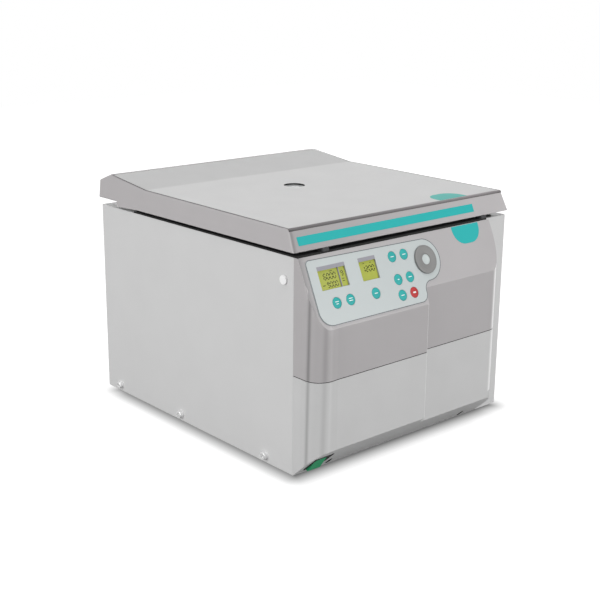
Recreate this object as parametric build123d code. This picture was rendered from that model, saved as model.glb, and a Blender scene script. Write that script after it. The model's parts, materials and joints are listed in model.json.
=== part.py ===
from build123d import *
from math import hypot, sqrt
import os

# Benchtop microplate centrifuge, millimetres, +Z up, front towards -Y.
# Construction frame: y = 0 is the front edge of the side panels, z = 0 is their bottom edge.
# Every piece is moved to the row frame (origin at the centre of the footprint, on the floor) when saved.

# Clearances.
moving_gap = 0.3
running_gap = 0.05
panel_gap = 0.3
seam_gap = 1.0
seat_gap = 0.05

# Housing.
body_width = 403.0
body_depth = 434.5
body_height = 287.1
sheet = 2.0
foot_height = 18.0
half_width = body_width / 2
inner_half = half_width - sheet - panel_gap

# Front bay: a deeper left part with the controls and a shallower right part.
bay_depth_left = 45.0
bay_depth_right = 36.0
bay_step_x = -half_width + 198.0
bay_right_x = half_width - 45.0
bay_lap = 60.0
bay_corner_radius = 22.0
groove_radius = 1.5
fascia_wall = 3.0
fascia_seam_z = 135.3
chin_rise = 41.5
slant_foot_z = body_height - 85.1
slant_top_y = -6.5
bend_radius = 3.0
step_edge_radius = 2.0
bay_reach = 20.0

# Details of the side, rear and deck.
side_fold = 14.0
fold_radius = 1.0
side_screw_y = (54.2, body_depth / 2 + 24.55, body_depth - 35.6)
side_screw_z = 10.0
side_screw_radius = 2.5
side_head_radius = 5.4
side_head_height = 5.6
side_hole_radius = 2.8
plug_y = 17.7
plug_z = body_height - 30.9
plug_radius = 3.4
plug_head_radius = 5.9
inlet_x = half_width - 80.0
inlet_z = 52.0
inlet_width = 27.0
inlet_height = 20.0
intake_rows = 5
intake_pitch = 22.0
intake_x = 62.0
intake_length = 60.0
intake_height = 8.0
vent_rows = 9
vent_low_z = 120.0
vent_pitch = 14.0
vent_length = 110.0
vent_height = 6.0
deck_thickness = 3.0
striker_x = half_width - 50.0
striker_y = 30.0
striker_slot = (28.0, 15.0)
lock_half_width = 21.0
lock_half_depth = 15.0
lock_depth = 59.1
lock_pocket_depth = 31.1
trim_height = 1.9
trim_rear_gap = 84.5
trim_side_start = 24.0
trim_end_reach = 17.0
trim_step_inset = 4.0

# Lid.
lid_wall = 3.0
lid_plate_thickness = 3.5
lid_edge_radius = 2.0
lid_plate_gap = 0.8
lid_slope = 0.01156
lid_front_bottom = (-2.0, body_height + 6.2)
lid_skirt_bend = (body_depth - 98.5, body_height + 6.2)
lid_front_top = (10.8, body_height + 33.7)
lid_crease_y = body_depth - 114.5
lid_crease = (lid_crease_y, lid_front_top[1] + (lid_crease_y - lid_front_top[0]) * lid_slope)
lid_peak = (body_depth - 25.2, body_height + 48.3)
lid_rear_top = (body_depth + 4.7, body_height + 36.7)
lid_rear_bottom = (body_depth + 4.7, body_height + 10.4)
lid_step_top = (body_depth - 44.3, body_height + 10.4)
lid_step_bottom = (body_depth - 46.0, body_height + 3.4)
lid_half_bottom = half_width + 2.8
lid_half_top = half_width
lid_side_margin = 10.0
lid_rib_thickness = 2.5
liner_z = body_height + 6.4
hinge_y = body_depth - 8.5
hinge_z = body_height + 23.9
hinge_x = half_width - 80.0
hinge_pin_radius = 4.0
sight_radius = 15.5
sight_x = 194.0 - half_width

# Chamber, motor and rotor.
chamber_front_gap = 58.5
chamber_rear_gap = 41.0
ring_wall = 5.0
ring_play = 5.5
ring_outer = (body_depth - chamber_front_gap - chamber_rear_gap) / 2
ring_inner = ring_outer - ring_wall
chamber_y = chamber_front_gap + ring_outer
bowl_radius = ring_inner - ring_play
bowl_wall = 1.2
sight_y = chamber_y - 6.0
bowl_floor_z = 134.0
bowl_foot_radius = 14.0
bowl_flange = 8.0
shaft_radius = 8.0
neck_radius = 22.0
neck_top_z = 140.0
trunnion_radius = 68.0
trunnion_z = 225.0
trunnion_pin_radius = 4.0
plate_length = 127.76
plate_width = 85.48
plate_clearance = 0.66
carrier_wall = 1.6
carrier_ear = 3.0
carrier_drop = 46.0

# Controls on the slanted plane: x measured from the left side, s down the slope from its top edge.
membrane_thickness = 0.8
membrane_left = 8.8 - half_width
membrane_right = 199.0 - half_width
membrane_top = 4.5
membrane_bottom = 89.4
membrane_corner_small = 6.0
membrane_corner_large = 20.0
membrane_corner_right = 12.0
neck_curve = 12.0
dial_x = 211.5 - half_width
dial_s = 35.3
dial_lobe_radius = 28.5
dial_radius = 19.2
dial_cap_radius = 7.0
key_radius = 7.1
key_travel = 0.8
speed_window = (24.0 - half_width, 70.5 - half_width, 15.0, 45.0)
time_window = (94.0 - half_width, 124.0 - half_width, 15.0, 45.0)
window_recess = 1.4
key_places = {
    "key_lid": (41.8 - half_width, 63.0),
    "key_program": (65.0 - half_width, 63.0),
    "key_time": (109.6 - half_width, 63.0),
    "key_temperature": (154.0 - half_width, 22.3),
    "key_radius": (175.8 - half_width, 22.3),
    "key_brake": (154.0 - half_width, 52.7),
    "key_quick_run": (175.8 - half_width, 52.7),
    "key_start": (154.0 - half_width, 73.8),
    "key_stop": (175.8 - half_width, 73.8),
}

# Power switch on the chin: x measured from the left side, s up the chin from its rear edge.
switch_x = 22.7 - half_width
switch_s = 29.0
switch_width = 21.0
switch_length = 27.0
switch_case_length = switch_length + 3.0
switch_case_width = switch_width + 2.6
rocker_tilt = 12.0
rocker_pivot_depth = 3.0
rocker_swing_radius = 14.3

# Derived.
slant_run = slant_top_y + bay_depth_left
slant_rise = body_height - slant_foot_z
slant_length = hypot(slant_run, slant_rise)
slant_normal = (0, -slant_rise / slant_length, slant_run / slant_length)
chin_length = hypot(bay_depth_left, chin_rise)
chin_normal = (0, -chin_rise / chin_length, -bay_depth_left / chin_length)
panel_plane = Plane(origin=(0, slant_top_y, body_height), x_dir=(1, 0, 0), z_dir=slant_normal)
chin_plane = Plane(origin=(0, 0, 0), x_dir=(1, 0, 0), z_dir=chin_normal)
bowl_rim_z = body_height + bowl_wall
footprint_centre_y = (lid_rear_top[0] - bay_depth_left) / 2
row_frame = Location((0, -footprint_centre_y, foot_height))


# Shared shapes.

def block(x0, x1, y0, y1, z0, z1):
    return Pos((x0 + x1) / 2, (y0 + y1) / 2, (z0 + z1) / 2) * Box(x1 - x0, y1 - y0, z1 - z0)


def rod(x, y, z0, z1, radius):
    return Pos(x, y, (z0 + z1) / 2) * Cylinder(radius, z1 - z0)


def ring(x, y, z0, z1, outer, inner):
    return rod(x, y, z0, z1, outer) - rod(x, y, z0 - 1, z1 + 1, inner)


def rod_along_x(x0, x1, y, z, radius):
    return Pos((x0 + x1) / 2, y, z) * (Rot(0, 90, 0) * Cylinder(radius, x1 - x0))


def rod_along_y(x, y0, y1, z, radius):
    return Pos(x, (y0 + y1) / 2, z) * (Rot(90, 0, 0) * Cylinder(radius, y1 - y0))


def side_prism(sketch, x0, x1):
    # A sketch drawn in (y, z), pulled along X.
    return extrude(Plane.YZ.offset(x0) * sketch, amount=x1 - x0, dir=(1, 0, 0))


def front_prism(sketch, y0, y1):
    # A sketch drawn in (x, z), pulled along Y.
    return extrude(Plane.XZ.offset(-y0) * sketch, amount=y1 - y0, dir=(0, 1, 0))


def on_plane(plane, sketch, n0, n1):
    # A sketch drawn in a plane's own coordinates, from height n0 to n1 above it.
    return extrude(plane.offset(n0) * sketch, amount=n1 - n0, dir=plane.z_dir)


def rounded_box(x0, x1, s0, s1, radius):
    centre = Pos((x0 + x1) / 2, (s0 + s1) / 2)
    return centre * RectangleRounded(x1 - x0, s1 - s0, radius)


def round_corner(sketch, point, radius):
    nearest = sketch.vertices().sort_by_distance(Vector(point[0], point[1], 0))[0]
    return fillet(nearest, radius)


# Housing.

def base_pan():
    y0 = sheet + panel_gap
    y1 = body_depth - sheet - panel_gap
    flange = 22.0
    pan = block(-inner_half, inner_half, y0, y1, 0, flange)
    pan -= block(-inner_half + sheet, inner_half - sheet, y0 + sheet, y1 - sheet, sheet, flange + 1)
    intake = extrude(SlotOverall(intake_length, intake_height), amount=8, both=True)
    for side in (-1, 1):
        for row in range(intake_rows):
            y = chamber_y + (row - 2) * intake_pitch
            pan -= Pos(side * intake_x, y, 1) * intake
    for y in side_screw_y:
        pan -= rod_along_x(-half_width, half_width, y, side_screw_z, side_screw_radius)
    return pan


def side_panel_left():
    # Flat outer sheet with folded front, rear and top edges.
    x0 = -half_width
    rear_y = body_depth - sheet - panel_gap
    panel = block(x0, x0 + sheet, 0, body_depth, 0, body_height)
    panel = fillet(panel.faces().sort_by(Axis.X)[0].edges().sort_by(Axis.Z)[:3], fold_radius)
    panel += block(x0 + sheet, x0 + side_fold, 0, sheet, 70, body_height - 6)
    panel += block(x0, x0 + side_fold, rear_y - sheet, rear_y, 24, body_height - 16)
    for y in side_screw_y:
        panel -= rod_along_x(x0 - 1, x0 + sheet + 1, y, side_screw_z, side_hole_radius)
    panel -= rod_along_x(x0 - 1, x0 + sheet + 1, plug_y, plug_z, plug_radius + moving_gap)
    return panel


def side_panel_right():
    # The same sheet, with its front edge turned in as a wide strip beside the bay.
    x1 = half_width
    rear_y = body_depth - sheet - panel_gap
    strip_x = bay_right_x + panel_gap
    panel = block(x1 - sheet, x1, 0, body_depth, 0, body_height)
    panel = fillet(panel.faces().sort_by(Axis.X)[-1].edges().sort_by(Axis.Z)[:3], fold_radius)
    panel += block(strip_x, x1 - sheet, 0, sheet, 0, body_height)
    panel += block(strip_x, strip_x + sheet, 0, side_fold, 24, body_height - 6)
    panel += block(x1 - side_fold, x1, rear_y - sheet, rear_y, 24, body_height - 16)
    for y in side_screw_y:
        panel -= rod_along_x(x1 - sheet - 1, x1 + 1, y, side_screw_z, side_hole_radius)
    return panel


def rear_panel():
    y0 = body_depth - sheet
    panel = block(-inner_half, inner_half, y0, body_depth, panel_gap, body_height)
    for side in (-1, 1):
        for row in range(vent_rows):
            z = vent_low_z + row * vent_pitch
            slot = Pos(side * half_width * 0.4, z) * SlotOverall(vent_length, vent_height)
            panel -= front_prism(slot, y0 - 1, body_depth + 1)
    opening = Pos(inlet_x, inlet_z) * Rectangle(inlet_width + 2 * panel_gap, inlet_height + 2 * panel_gap)
    panel -= front_prism(opening, y0 - 1, body_depth + 1)
    return panel


def top_deck():
    # Deck plate with a turned-down edge, the chamber opening and two lock slots.
    z0 = body_height - deck_thickness
    y0 = sheet + panel_gap
    y1 = body_depth - sheet - panel_gap
    skirt = 10.0
    deck = block(-inner_half, inner_half, y0, y1, z0, body_height)
    edge = block(-inner_half, inner_half, y0, y1, z0 - skirt, z0)
    edge -= block(-inner_half + sheet, inner_half - sheet, y0 + sheet, y1 - sheet, z0 - skirt - 1, z0)
    fold_clear = 16.0
    for side in (-1, 1):
        corner_x = sorted((side * (inner_half - fold_clear), side * (inner_half + 1)))
        edge -= block(corner_x[0], corner_x[1], y0 - 1, y0 + 3, z0 - skirt - 1, z0)
        edge -= block(corner_x[0], corner_x[1], y1 - 3, y1 + 1, z0 - skirt - 1, z0)
    edge -= block(bay_right_x - 2, bay_right_x + 6, y0 - 1, y0 + 14, z0 - skirt - 1, z0)
    deck += edge
    deck -= rod(0, chamber_y, z0 - 1, body_height + 1, bowl_radius + bowl_wall + 1.0)
    for side in (-1, 1):
        slot = extrude(RectangleRounded(*striker_slot, 3), amount=10, both=True)
        deck -= Pos(side * striker_x, striker_y, z0) * slot
    return deck


def rim_trim():
    # Black beads along the front and both sides of the deck, in the gap below the lid skirt.
    # The front right corner of the deck stays bare.
    side_inset = 0.6
    side_wide = 9.0
    front_y = slant_top_y + 0.8
    front_wide = 14.0
    rear_y = body_depth - trim_rear_gap
    z1 = body_height + trim_height
    outer = half_width - side_inset
    rear_edge = front_y + front_wide
    step_x = bay_right_x - trim_step_inset
    front_bead = block(-outer, step_x, front_y, rear_edge, body_height, z1)
    front_bead += block(step_x, bay_right_x + trim_end_reach, 3, rear_edge, body_height, z1)
    left_bead = block(-outer, side_wide - outer, rear_edge + panel_gap, rear_y, body_height, z1)
    right_bead = block(outer - side_wide, outer, trim_side_start, rear_y, body_height, z1)
    return Compound(children=[front_bead, left_bead, right_bead])


def lid_buffers():
    # Two rubber blocks that the lid skirt comes down on.
    z0 = body_height + trim_height
    z1 = lid_front_bottom[1] - moving_gap
    blocks = [block(x - 5, x + 5, -5.2, 5, z0, z1) for x in (48 - half_width, bay_right_x - 9)]
    return Compound(children=blocks)


def bay_plan(inset):
    left = -half_width + inset
    right = bay_right_x - inset
    front_left = -bay_depth_left + inset
    front_right = -bay_depth_right + inset
    step = bay_step_x - inset
    radius = bay_corner_radius - inset
    mid = radius * (1 - sqrt(0.5))
    back = bay_reach - inset
    outline = Line((left, back), (left, front_left + radius))
    corner_end = (left + radius, front_left)
    outline += ThreePointArc((left, front_left + radius), (left + mid, front_left + mid), corner_end)
    edge = step_edge_radius - inset if inset < step_edge_radius else 0.2
    edge_mid = edge * (1 - sqrt(0.5))
    outline += Line((left + radius, front_left), (step - edge, front_left))
    outline += ThreePointArc(
        (step - edge, front_left), (step - edge_mid, front_left + edge_mid), (step, front_left + edge))
    outline += Line((step, front_left + edge), (step, front_right))
    outline += Line((step, front_right), (right - radius, front_right))
    outline += ThreePointArc(
        (right - radius, front_right), (right - mid, front_right + mid), (right, front_right + radius))
    outline += Line((right, front_right + radius), (right, back))
    outline += Line((right, back), (left, back))
    return make_face(outline)


def bay_profile():
    chin_back_z = -bay_reach * chin_rise / bay_depth_left
    profile = Polygon(
        (bay_reach, chin_back_z),
        (-bay_depth_left, chin_rise),
        (-bay_depth_left, slant_foot_z),
        (slant_top_y, body_height),
        (bay_reach, body_height),
        align=None,
    )
    return round_corner(profile, (-bay_depth_left, slant_foot_z), bend_radius)


def bay_solid(inset):
    height = body_height + 2 * bay_lap
    plan = extrude(Plane.XY.offset(-bay_lap) * bay_plan(inset), amount=height, dir=(0, 0, 1))
    profile = bay_profile() if inset == 0 else offset(bay_profile(), -inset)
    return plan & side_prism(profile, -half_width - 1, half_width + 1)


def bay_shell():
    shell = bay_solid(0) - bay_solid(fascia_wall)
    return shell - block(-half_width - 1, half_width + 1, 0, bay_reach + 1, -bay_lap, body_height + bay_lap)


def place_window(window):
    # Window limits are given as x0, x1 and distances down the slope.
    x0, x1, s0, s1 = window
    return Pos((x0 + x1) / 2, -(s0 + s1) / 2) * Rectangle(x1 - x0, s1 - s0)


def corner_grooves():
    # Fine upright grooves where the left corner bend begins and ends.
    front = rod(-half_width + bay_corner_radius, -bay_depth_left, -bay_lap, body_height, groove_radius)
    flank = rod(-half_width, -bay_depth_left + bay_corner_radius, -bay_lap, body_height, groove_radius)
    return front + flank


def fascia_upper():
    below = block(-half_width - 1, half_width + 1, -bay_lap, 1, -bay_lap, fascia_seam_z + seam_gap / 2)
    part = bay_shell() - below
    openings = place_window(speed_window) + place_window(time_window)
    for x, s in key_places.values():
        openings += Pos(x, -s) * Circle(key_radius + moving_gap)
    openings += Pos(dial_x, -dial_s) * Circle(5.0)
    return part - on_plane(panel_plane, openings, -fascia_wall - 2, 1) - corner_grooves()


chin_slot_width = 3.4
right_slot_inset = 42.8
chin_slots = (
    (39.5 - half_width, 21.0, 45.5),
    (55.5 - half_width, 5.5, 18.0),
    (bay_right_x - right_slot_inset, 4.5, 17.0),
)


def fascia_lower():
    z0 = fascia_seam_z - seam_gap / 2
    part = bay_shell() - block(-half_width - 1, half_width + 1, -bay_lap, 1, z0, body_height + bay_lap)
    cut = Pos(switch_x, switch_s) * Rectangle(switch_case_width, switch_case_length)
    for x, s0, s1 in chin_slots:
        cut += Pos(x, (s0 + s1) / 2) * SlotOverall(s1 - s0, chin_slot_width, rotation=90)
    return part - on_plane(chin_plane, cut, -fascia_wall - 3, 1) - corner_grooves()


bulkhead_y = 54.0
board_y = 44.0
board_thickness = 1.6
board_low_z = 62.0
board_high_z = 198.0
board_middle_gap = 12.0
spacer_radius = 3.5
spacer_inset = 8.0


def front_bulkhead():
    # Steel wall between the electronics and the chamber.
    y0 = bulkhead_y
    half = inner_half - 8
    wall = block(-half, half, y0, y0 + sheet, sheet, body_height - 25.1)
    wall += block(-half, half, y0 - 16, y0, sheet, 2 * sheet)
    wall -= rod_along_y(0, y0 - 1, y0 + sheet + 1, 40.0, 12)
    wall -= rod_along_y(40 - half_width, y0 - 1, y0 + sheet + 1, body_height - 51.1, 10)
    return wall


def spacers(columns):
    rows = (board_low_z + spacer_inset, board_high_z - spacer_inset)
    studs = [rod_along_y(x, board_y, bulkhead_y, z, spacer_radius) for x in columns for z in rows]
    return Compound(children=studs)


def control_board():
    # Computer board with its processor, relay and transformer.
    x0 = 42 - half_width
    x1 = -board_middle_gap
    board = block(x0, x1, board_y - board_thickness, board_y, board_low_z, board_high_z)
    board += spacers((x0 + spacer_inset, x1 - spacer_inset))
    board += block(x0 + 28, x0 + 54, board_y - 4.6, board_y - board_thickness, 110, 136)
    board += block(x0 + 74, x0 + 98, board_y - 10.6, board_y - board_thickness, 80, 100)
    board += block(-44, -26, board_y - 12.6, board_y - board_thickness, 140, 176)
    return board


def drive_board():
    # Motor drive board with three capacitors and a filter block.
    x1 = half_width - 52
    x0 = board_middle_gap
    board = block(x0, x1, board_y - board_thickness, board_y, board_low_z, board_high_z)
    board += spacers((x0 + spacer_inset, x1 - spacer_inset))
    for column in range(3):
        board += rod_along_y(x1 - 48 + column * 15.0, board_y - 26.0, board_y - board_thickness, 92.0, 6.5)
    board += block(30, 62, board_y - 18, board_y - board_thickness, 76, 108)
    return board


def drive_heatsink():
    x0 = 30
    x1 = half_width - 68
    y1 = board_y - board_thickness
    fins = 9
    pitch = (x1 - x0 - 4.4) / (fins - 1)
    sink = block(x0, x1, y1 - 6, y1, 124, 184)
    for fin in range(fins):
        x = x0 + 1.5 + fin * pitch
        sink += block(x, x + 2.0, y1 - 24, y1 - 6, 124, 184)
    return sink


def mains_inlet():
    # Three-pole appliance inlet with its pins in an open socket.
    y1 = body_depth + 1.6
    flange = front_prism(Pos(inlet_x, inlet_z) * RectangleRounded(49, 28, 5), body_depth, y1)
    outline = Pos(inlet_x, inlet_z) * Rectangle(inlet_width, inlet_height)
    shell = front_prism(outline, body_depth - 22, body_depth)
    socket = Pos(inlet_x, inlet_z) * RectangleRounded(inlet_width - 4, inlet_height - 4, 3)
    mouth = front_prism(socket, body_depth - 17, y1 + 1)
    inlet = flange + shell - mouth
    for dx, dz in ((-7, -2), (0, 2), (7, -2)):
        x = inlet_x + dx
        z = inlet_z + dz
        inlet += block(x - 1, x + 1, body_depth - 18, body_depth - 7, z - 2, z + 2)
    for side in (-1, 1):
        inlet -= rod_along_y(inlet_x + side * 19.5, body_depth - 1, y1 + 1, inlet_z, 1.7)
    return inlet


def rubber_feet():
    feet = []
    foot_x = half_width - 72
    for x, y in ((x, y) for x in (-foot_x, foot_x) for y in (72, body_depth - 66.5)):
        foot = Pos(x, y, -foot_height / 2) * Cone(15, 18, foot_height)
        foot -= rod(x, y, -foot_height - 1, -foot_height + 10, 6)
        feet.append(foot)
    return Compound(children=feet)


def side_screws():
    # Cap heads with a hexagon socket, one row of three on each side panel.
    screws = []
    for side in (-1, 1):
        for y in side_screw_y:
            outer = side * half_width
            tip = side * (inner_half - sheet - 4)
            head = extrude(Circle(side_head_radius), amount=side_head_height)
            head = chamfer(head.edges().group_by(Axis.Z)[-1], 0.5)
            head = Pos(outer, y, side_screw_z) * Rot(0, 90 * side, 0) * head
            shank = rod_along_x(min(outer, tip), max(outer, tip), y, side_screw_z, side_screw_radius)
            socket = Pos(outer + side * (side_head_height + 1), y, side_screw_z)
            socket *= Rot(0, -90 * side, 0) * extrude(RegularPolygon(2.9, 6), amount=4.0)
            screws.append(head + shank - socket)
    return Compound(children=screws)


def release_plug():
    # Round plug over the emergency lid release on the left side.
    head = rod_along_x(-half_width - 2.5, -half_width - moving_gap, plug_y, plug_z, plug_head_radius)
    stem = rod_along_x(-half_width - 1, -half_width + 14, plug_y, plug_z, plug_radius)
    return head + stem


def lock_units():
    # Two closed lock cases under the deck, each open above to take its striker.
    units = []
    for side in (-1, 1):
        x = side * striker_x
        y0 = striker_y - lock_half_depth
        y1 = striker_y + lock_half_depth
        z1 = body_height - deck_thickness
        case = block(x - lock_half_width, x + lock_half_width, y0, y1, body_height - lock_depth, z1)
        case -= block(x - 12.5, x + 12.5, y0 + 7.5, y1 - 7.5, body_height - lock_pocket_depth, body_height)
        units.append(case)
    return Compound(children=units)


def hinge_brackets():
    brackets = []
    for side in (-1, 1):
        x = side * hinge_x
        foot = block(x - 22, x + 22, hinge_y - 14, body_depth - 3, body_height, body_height + 3)
        web = block(x - 6, x + 6, hinge_y - 8, hinge_y + 5, body_height + 2, hinge_z)
        barrel = rod_along_x(x - 6, x + 6, hinge_y, hinge_z, 8)
        bore = rod_along_x(x - 8, x + 8, hinge_y, hinge_z, hinge_pin_radius + running_gap)
        brackets.append(foot + web + barrel - bore)
    return Compound(children=brackets)


# Controls.

def membrane_outline():
    # Film outline with a round lobe for the dial, joined to the film's lower right corner by a hollow curve.
    left, right = membrane_left, membrane_right
    top, bottom = -membrane_top, -membrane_bottom
    small, large = membrane_corner_small, membrane_corner_large
    film = Pos((left + right) / 2, (top + bottom) / 2) * Rectangle(right - left, top - bottom)
    corners = film.vertices().group_by(Axis.X)[0].sort_by(Axis.Y)
    film = fillet(corners[1], small)
    film = fillet(film.vertices().sort_by_distance(Vector(left, bottom, 0))[0], large)
    film = fillet(film.vertices().sort_by_distance(Vector(right, bottom, 0))[0], membrane_corner_right)
    neck_s = dial_s + sqrt((dial_lobe_radius + neck_curve) ** 2 - (right + neck_curve - dial_x) ** 2)
    bridge_x = right + neck_curve
    bridge = Rectangle(neck_curve + 20, neck_s - dial_s)
    bridge = Pos((right + bridge_x) / 2 - 10, -(dial_s + neck_s) / 2) * bridge
    crown = Pos(dial_x / 2 - 15, -(membrane_top + 30) / 2) * Rectangle(dial_x + 30, 30 - membrane_top)
    lobe = Pos(dial_x, -dial_s) * Circle(dial_lobe_radius)
    band = Pos(0, (top + bottom) / 2) * Rectangle(body_width, top - bottom)
    outline = film + ((bridge + crown + lobe) & band)
    outline -= Pos(bridge_x, -neck_s) * Circle(neck_curve)
    # The top edge falls gently from the left end to the crown of the lobe.
    lobe_top = dial_lobe_radius - dial_s
    end_x = dial_x + dial_lobe_radius
    above = Polygon((left, top), (dial_x, lobe_top), (end_x, lobe_top), (end_x, 10), (left, 10), align=None)
    return outline - above


def control_membrane():
    openings = place_window(speed_window) + place_window(time_window)
    for x, s in key_places.values():
        openings += Pos(x, -s) * Circle(key_radius + moving_gap)
    openings += Pos(dial_x, -dial_s) * Circle(5.0)
    return on_plane(panel_plane, membrane_outline() - openings, 0, membrane_thickness)


def display_module(window):
    x0, x1, s0, s1 = window
    side = 0.2
    front = Pos((x0 + x1) / 2, -(s0 + s1) / 2) * Rectangle(x1 - x0 - 2 * side, s1 - s0 - 2 * side)
    back = Pos((x0 + x1) / 2, -(s0 + s1) / 2) * Rectangle(x1 - x0 + 5, s1 - s0 + 5)
    glass = on_plane(panel_plane, front, -fascia_wall, -window_recess)
    return glass + on_plane(panel_plane, back, -fascia_wall - 3.4, -fascia_wall)


def keypad_board():
    # Printed board behind the slanted panel, carried by the display backs, with one dome per key.
    depth = -fascia_wall - 5.0
    low_s = key_places["key_stop"][1] + 6.2
    plate = rounded_box(speed_window[0] - 2, dial_x + 22.5, -low_s, 3 - speed_window[2], 4)
    board = on_plane(panel_plane, plate, depth - board_thickness, depth)
    for x, s in key_places.values():
        board += on_plane(panel_plane, Pos(x, -s) * Circle(3.0), depth, depth + 1.9)
    for window in (speed_window, time_window):
        x0, x1, s0, s1 = window
        pad = Pos((x0 + x1) / 2, -(s0 + s1) / 2) * Rectangle(x1 - x0 - 8, s1 - s0 - 8)
        board += on_plane(panel_plane, pad, depth, -fascia_wall - 3.4)
    return board - on_plane(panel_plane, Pos(dial_x, -dial_s) * Rectangle(16, 16), depth - 3, depth + 1)


def key_cap(place):
    x, s = place
    low = -fascia_wall - moving_gap
    cap = on_plane(panel_plane, Pos(x, -s) * Circle(key_radius), low, membrane_thickness + 0.5)
    collar_top = -fascia_wall - moving_gap
    collar = on_plane(panel_plane, Pos(x, -s) * Circle(key_radius + 1.6), collar_top - 1.2, collar_top)
    return cap + collar


def dial_encoder():
    # Encoder body behind the panel, its bush through the panel hole.
    centre = Pos(dial_x, -dial_s)
    case = on_plane(panel_plane, centre * Rectangle(14, 14), -fascia_wall - 9, -fascia_wall)
    bush = on_plane(panel_plane, centre * Circle(4.9), -fascia_wall, membrane_thickness - 0.3)
    bore = centre * Circle(3.0 + running_gap)
    bore = on_plane(panel_plane, bore, -fascia_wall - 7, membrane_thickness + 1)
    return case + bush - bore


def speed_dial():
    centre = Pos(dial_x, -dial_s)
    low = membrane_thickness + moving_gap
    disc = on_plane(panel_plane, centre * Circle(dial_radius), low, low + 2.4)
    outward = Axis(panel_plane.origin, panel_plane.z_dir)
    disc = fillet(disc.edges().filter_by(GeomType.CIRCLE).sort_by(outward)[-1], 0.8)
    disc -= on_plane(panel_plane, centre * Circle(dial_cap_radius), low + 1.4, low + 3)
    return disc + on_plane(panel_plane, centre * Circle(3.0), -fascia_wall - 6.5, low + 0.1)


def dial_cap():
    low = membrane_thickness + moving_gap + 1.4
    return on_plane(panel_plane, Pos(dial_x, -dial_s) * Circle(dial_cap_radius), low, low + 0.8)


def switch_frame():
    centre = Pos(switch_x, switch_s)
    lip = centre * RectangleRounded(switch_case_width + 2.4, switch_case_length + 2.4, 2)
    lip = on_plane(chin_plane, lip, 0, 1.0)
    case = on_plane(chin_plane, centre * Rectangle(switch_case_width, switch_case_length), -20, 0)
    room = centre * Rectangle(switch_width + 2 * moving_gap, 2 * (rocker_swing_radius + moving_gap))
    hollow = on_plane(chin_plane, room, -18.5, 2)
    return lip + case - hollow


def power_rocker():
    # Rocker bounded by its swing circle, with a hollow face, tilted so that its lower end stands out.
    pivot = chin_plane.origin + chin_plane.y_dir * switch_s + chin_plane.z_dir * -rocker_pivot_depth
    edge_height = rocker_pivot_depth + 3.4
    reach = rocker_swing_radius + 1
    face = Polygon(
        (-reach, -5), (reach, -5), (reach, edge_height), (0, edge_height - 1.8), (-reach, edge_height),
        align=None,
    )
    face = face & Circle(rocker_swing_radius)
    section = Plane(
        origin=(switch_x - switch_width / 2, pivot.Y, pivot.Z), x_dir=chin_plane.y_dir, z_dir=(-1, 0, 0))
    rocker = extrude(section * face, amount=switch_width, dir=(1, 0, 0))
    return rocker.rotate(Axis((0, pivot.Y, pivot.Z), (1, 0, 0)), -rocker_tilt)


# Chamber and drive.

def guard_ring():
    # Armour ring on the base pan, with air windows at its foot.
    wall = ring(0, chamber_y, sheet, body_height - 15.1, ring_outer, ring_inner)
    for turn in range(4):
        window = Rot(0, 0, 45 + 90 * turn) * (Pos(ring_inner, 0, 0) * Box(40, 70, 90))
        wall -= Pos(0, chamber_y, 0) * window
    return wall


def chamber_wall():
    # Drawn wall of the chamber: rim turned out over the deck, foot turned in to the floor.
    outer = bowl_radius + bowl_wall
    wall = rod(0, chamber_y, bowl_floor_z - bowl_wall, bowl_rim_z, outer)
    wall = fillet(wall.edges().filter_by(GeomType.CIRCLE).sort_by(Axis.Z)[0], bowl_foot_radius + bowl_wall)
    hollow = rod(0, chamber_y, bowl_floor_z, bowl_rim_z + 1, bowl_radius)
    hollow = fillet(hollow.edges().filter_by(GeomType.CIRCLE).sort_by(Axis.Z)[0], bowl_foot_radius)
    floor_radius = bowl_radius - bowl_foot_radius
    wall = wall - hollow - rod(0, chamber_y, bowl_floor_z - 5, bowl_floor_z + 5, floor_radius)
    return wall + ring(0, chamber_y, body_height, bowl_rim_z, outer + bowl_flange, bowl_radius)


def chamber_floor():
    # Flat floor disc with the opening for the bearing neck.
    floor_radius = bowl_radius - bowl_foot_radius
    return ring(0, chamber_y, bowl_floor_z - bowl_wall, bowl_floor_z, floor_radius, neck_radius + 2)


def bowl_gasket():
    return ring(0, chamber_y, bowl_rim_z, bowl_rim_z + 2.7, bowl_radius + bowl_flange, bowl_radius + 1)


mount_reach = 92.0
mount_places = [(x, y) for y in (-mount_reach, mount_reach) for x in (-mount_reach, mount_reach)]
mount_radius = 12.0
mount_flange_radius = 15.0
mount_flange = 7.0
motor_plate_side = 222.0
motor_plate_corner = 24.0
motor_plate_z = 30.0
motor_plate_thickness = 4.0
motor_top_z = 118.0
motor_radius = 58.0
motor_fins = 16


def rubber_mounts():
    mounts = []
    for dx, dy in mount_places:
        y = chamber_y + dy
        foot_z = sheet + seat_gap
        mount = rod(dx, y, foot_z, motor_plate_z, mount_radius)
        low_flange = rod(dx, y, foot_z, sheet + mount_flange, mount_flange_radius)
        high_flange = rod(dx, y, motor_plate_z - mount_flange, motor_plate_z, mount_flange_radius)
        mount += low_flange + high_flange
        mounts.append(mount)
    return Compound(children=mounts)


def motor_plate():
    outline = RectangleRounded(motor_plate_side, motor_plate_side, motor_plate_corner)
    plate = extrude(outline, amount=motor_plate_thickness)
    plate = Pos(0, chamber_y, motor_plate_z) * plate
    return plate - rod(0, chamber_y, motor_plate_z - 1, motor_plate_z + 6, 30)


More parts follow.
